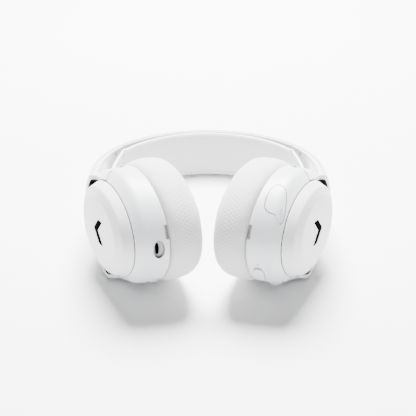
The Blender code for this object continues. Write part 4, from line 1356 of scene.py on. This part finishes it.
def make_mic_ribs(matrix, direction):
    """The microphone's grille on the cap: short raised ribs inside a raised rim."""
    rim = smooth_closed(((15.6, 137.5), (16.6, 136.3), (17.6, 138.0), (18.2, 143.0), (17.9, 147.0),
                         (17.2, 147.8),
                         (16.6, 145.5), (15.9, 141.5)), 8)
    line = [matrix @ ((shell_point(1, out, degrees) + direction * 0.02) * MM) for out, degrees in rim]
    line.append(line[0])
    frame_rim = repeat_along("microphone_rim", line, 0.0003, (0.00042, 0.00042, 0.0005), "shell_abs",
                             direction)
    hand_over(frame_rim, "microphone", "white_plastic")
    ribs = []
    for step in range(5):
        degrees = 138.6 + 1.75 * step
        low = 16.15 + 0.16 * step
        ends = [shell_point(1, out, degrees) for out in (low, low + 1.1)]
        ribs.append([matrix @ (point * MM) for point in ends])
    for index, ends in enumerate(ribs):
        rib = repeat_along("microphone_rib_" + str(index + 1), ends, 0.0002, (0.0004, 0.0004, 0.0004),
                           "shell_abs",
                           direction)
        hand_over(rib, "microphone", "white_plastic")


def make_wheel_ribs():
    """Fine ribs across the volume wheel's tread."""
    sizes = bpy.context.scene.headset_sizes
    radius = (WHEEL_RADIUS - 0.3) * MM
    matrix = wheel_matrix()
    count = 96
    circle = [matrix @ Vector((radius * math.cos(2 * math.pi * step / count),
                               radius * math.sin(2 * math.pi * step / count),
                               0.0)) for step in range(count + 1)]
    turns = round(2.0 * math.pi * radius / sizes.wheel_rib)
    spacing = 2.0 * math.pi * radius / turns * 0.9995
    axle = matrix.to_3x3() @ Vector((0.0, 0.0, 1.0))
    ribs = repeat_along("volume_ribs", circle, spacing, (0.0024, 0.0005, 0.00045), "shell_abs", axle)
    hand_over(ribs, "volume_wheel", "white_plastic")


# ------------------------------------------------------------------ CAD nodes that stay

def finish_inner_parts():
    """Give the CAD nodes that stay their own finishes, by what each is made of."""
    finishes = (("spring_band", "spring_steel"), ("slider", "spring_steel"), ("swivel_pin", "spring_steel"),
                ("pivot_pin", "spring_steel"), ("driver_magnet", "spring_steel"),
                ("driver_frame", "grey_abs"),
                ("driver_diaphragm", "grey_abs"), ("circuit_board", "solder_mask"), ("battery", "grey_abs"),
                ("baffle", "black_abs"), ("cushion_ring", "black_abs"))
    for name, item in frame["nodes"].items():
        if item.hide_render:
            continue
        material = next((look for start, look in finishes if name.startswith(start)), None)
        if material is None:
            raise RuntimeError("no finish is given for " + name)
        item.data.materials.clear()
        item.data.materials.append(finish(material))


# ------------------------------------------------------------------ stage

CAMERA_PLACE = (0.0, -0.5565, 0.3652)
CAMERA_AIM = (0.0, 0.8502, -0.5265)
CAMERA_LENS = 76.15


def area_light(name, place, aim, size, power):
    """A round area light at a place, turned to a point."""
    light = bpy.data.lights.new(name, "AREA")
    light.shape = "DISK"
    light.size = size
    light.energy = power
    item = bpy.data.objects.new(name, light)
    bpy.context.scene.collection.objects.link(item)
    item.location = place
    item.rotation_euler = (Vector(aim) - Vector(place)).to_track_quat("-Z", "Y").to_euler()


# The stage: floor and light, in metres and watts
FLOOR_HALF = 4.0
FLOOR_DROP = 0.0002
WORLD_STRENGTH = 0.35
OVERHEAD_PLACE = (0.0, 0.6, 1.15)
OVERHEAD_POWER = 165.0


def make_stage():
    """A pale floor, a soft light from above and behind, and the camera."""
    half = FLOOR_HALF / MM
    corners = [(-half, -half, 0), (half, -half, 0), (half, half, 0), (-half, half, 0)]
    floor = build("floor", corners, [(0, 1, 2, 3)], Matrix.Translation((0, 0, -FLOOR_DROP)), None)
    floor.data.materials.append(new_material("painted_floor", linear("#FFFFFF"), 0.9)[0])
    world = bpy.data.worlds.new("studio")
    world.use_nodes = True
    world.node_tree.nodes["Background"].inputs["Color"].default_value = (1.0, 1.0, 1.0, 1.0)
    world.node_tree.nodes["Background"].inputs["Strength"].default_value = WORLD_STRENGTH
    bpy.context.scene.world = world
    area_light("overhead", OVERHEAD_PLACE, (0.0, -0.02, 0.0), 0.75, OVERHEAD_POWER)
    area_light("front_fill", (0.0, -1.3, 0.9), (0.0, 0.0, 0.03), 1.0, 1.0)
    camera = bpy.data.cameras.new("camera")
    camera.lens = CAMERA_LENS
    camera.sensor_width = 36.0
    camera.clip_start = 0.01
    camera.clip_end = 20.0
    item = bpy.data.objects.new("camera", camera)
    bpy.context.scene.collection.objects.link(item)
    item.location = CAMERA_PLACE
    item.rotation_euler = Vector(CAMERA_AIM).to_track_quat("-Z", "Y").to_euler()
    bpy.context.scene.camera = item


# ------------------------------------------------------------------ operators

class HEADSET_OT_headband(bpy.types.Operator):
    """Build the headband's cover and liner"""
    bl_idname = "headset.headband"
    bl_label = "Headband"

    def execute(self, context):
        make_cover()
        return {"FINISHED"}


class HEADSET_OT_strap(bpy.types.Operator):
    """Build the suspension strap, its hems, stitches and ends"""
    bl_idname = "headset.strap"
    bl_label = "Strap"

    def execute(self, context):
        make_strap()
        return {"FINISHED"}


class HEADSET_OT_arms(bpy.types.Operator):
    """Build both arms and their screws"""
    bl_idname = "headset.arms"
    bl_label = "Arms"

    def execute(self, context):
        for side, label in SIDES:
            make_arm(side, label)
        return {"FINISHED"}


class HEADSET_OT_yokes(bpy.types.Operator):
    """Build both yokes"""
    bl_idname = "headset.yokes"
    bl_label = "Yokes"

    def execute(self, context):
        for side, label in SIDES:
            make_yoke(side, label)
        return {"FINISHED"}


class HEADSET_OT_cups(bpy.types.Operator):
    """Build both ear cups' shells and plates"""
    bl_idname = "headset.cups"
    bl_label = "Ear cups"

    def execute(self, context):
        for side, label in SIDES:
            make_shell(side, label)
            make_plate(side, label)
        return {"FINISHED"}


class HEADSET_OT_cushions(bpy.types.Operator):
    """Swell and knit both cushions, and stretch the cloth inside them"""
    bl_idname = "headset.cushions"
    bl_label = "Cushions"

    def execute(self, context):
        for side, label in SIDES:
            make_cushion(side, label)
            make_speaker_cloth(side, label)
        return {"FINISHED"}


class HEADSET_OT_controls(bpy.types.Operator):
    """Build the buttons, wheel, microphone, light and charging inlet"""
    bl_idname = "headset.controls"
    bl_label = "Controls"

    def execute(self, context):
        make_left_controls()
        make_right_controls()
        return {"FINISHED"}


class HEADSET_OT_inner_parts(bpy.types.Operator):
    """Finish the parts inside the cups and arms"""
    bl_idname = "headset.inner_parts"
    bl_label = "Inner parts"

    def execute(self, context):
        finish_inner_parts()
        return {"FINISHED"}


class HEADSET_OT_stage(bpy.types.Operator):
    """Build the floor, lights and camera"""
    bl_idname = "headset.stage"
    bl_label = "Stage"

    def execute(self, context):
        make_stage()
        return {"FINISHED"}


OPERATORS = (HEADSET_OT_headband, HEADSET_OT_strap, HEADSET_OT_arms, HEADSET_OT_yokes, HEADSET_OT_cups,
             HEADSET_OT_cushions, HEADSET_OT_controls, HEADSET_OT_inner_parts, HEADSET_OT_stage)


class HEADSET_PT_panel(bpy.types.Panel):
    """The headset's sizes, colours and pieces"""
    bl_label = "Headset"
    bl_idname = "HEADSET_PT_panel"
    bl_space_type = "VIEW_3D"
    bl_region_type = "UI"
    bl_category = "Headset"

    def draw(self, context):
        for group in (context.scene.headset_sizes, context.scene.headset_colours):
            for key in group.bl_rna.properties.keys():
                if key not in {"rna_type", "name"}:
                    self.layout.prop(group, key)
        for operator in OPERATORS:
            self.layout.operator(operator.bl_idname)


CLASSES = (HeadsetSizes, HeadsetColours, *OPERATORS, HEADSET_PT_panel)


def register():
    for item in CLASSES:
        bpy.utils.register_class(item)
    bpy.types.Scene.headset_sizes = PointerProperty(type=HeadsetSizes)
    bpy.types.Scene.headset_colours = PointerProperty(type=HeadsetColours)


def unregister():
    del bpy.types.Scene.headset_colours
    del bpy.types.Scene.headset_sizes
    for item in reversed(CLASSES):
        bpy.utils.unregister_class(item)


def main():
    """Register the add-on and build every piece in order."""
    register()
    for operator in OPERATORS:
        family, name = operator.bl_idname.split(".")
        getattr(getattr(bpy.ops, family), name)()


if __name__ == "__main__":
    main()
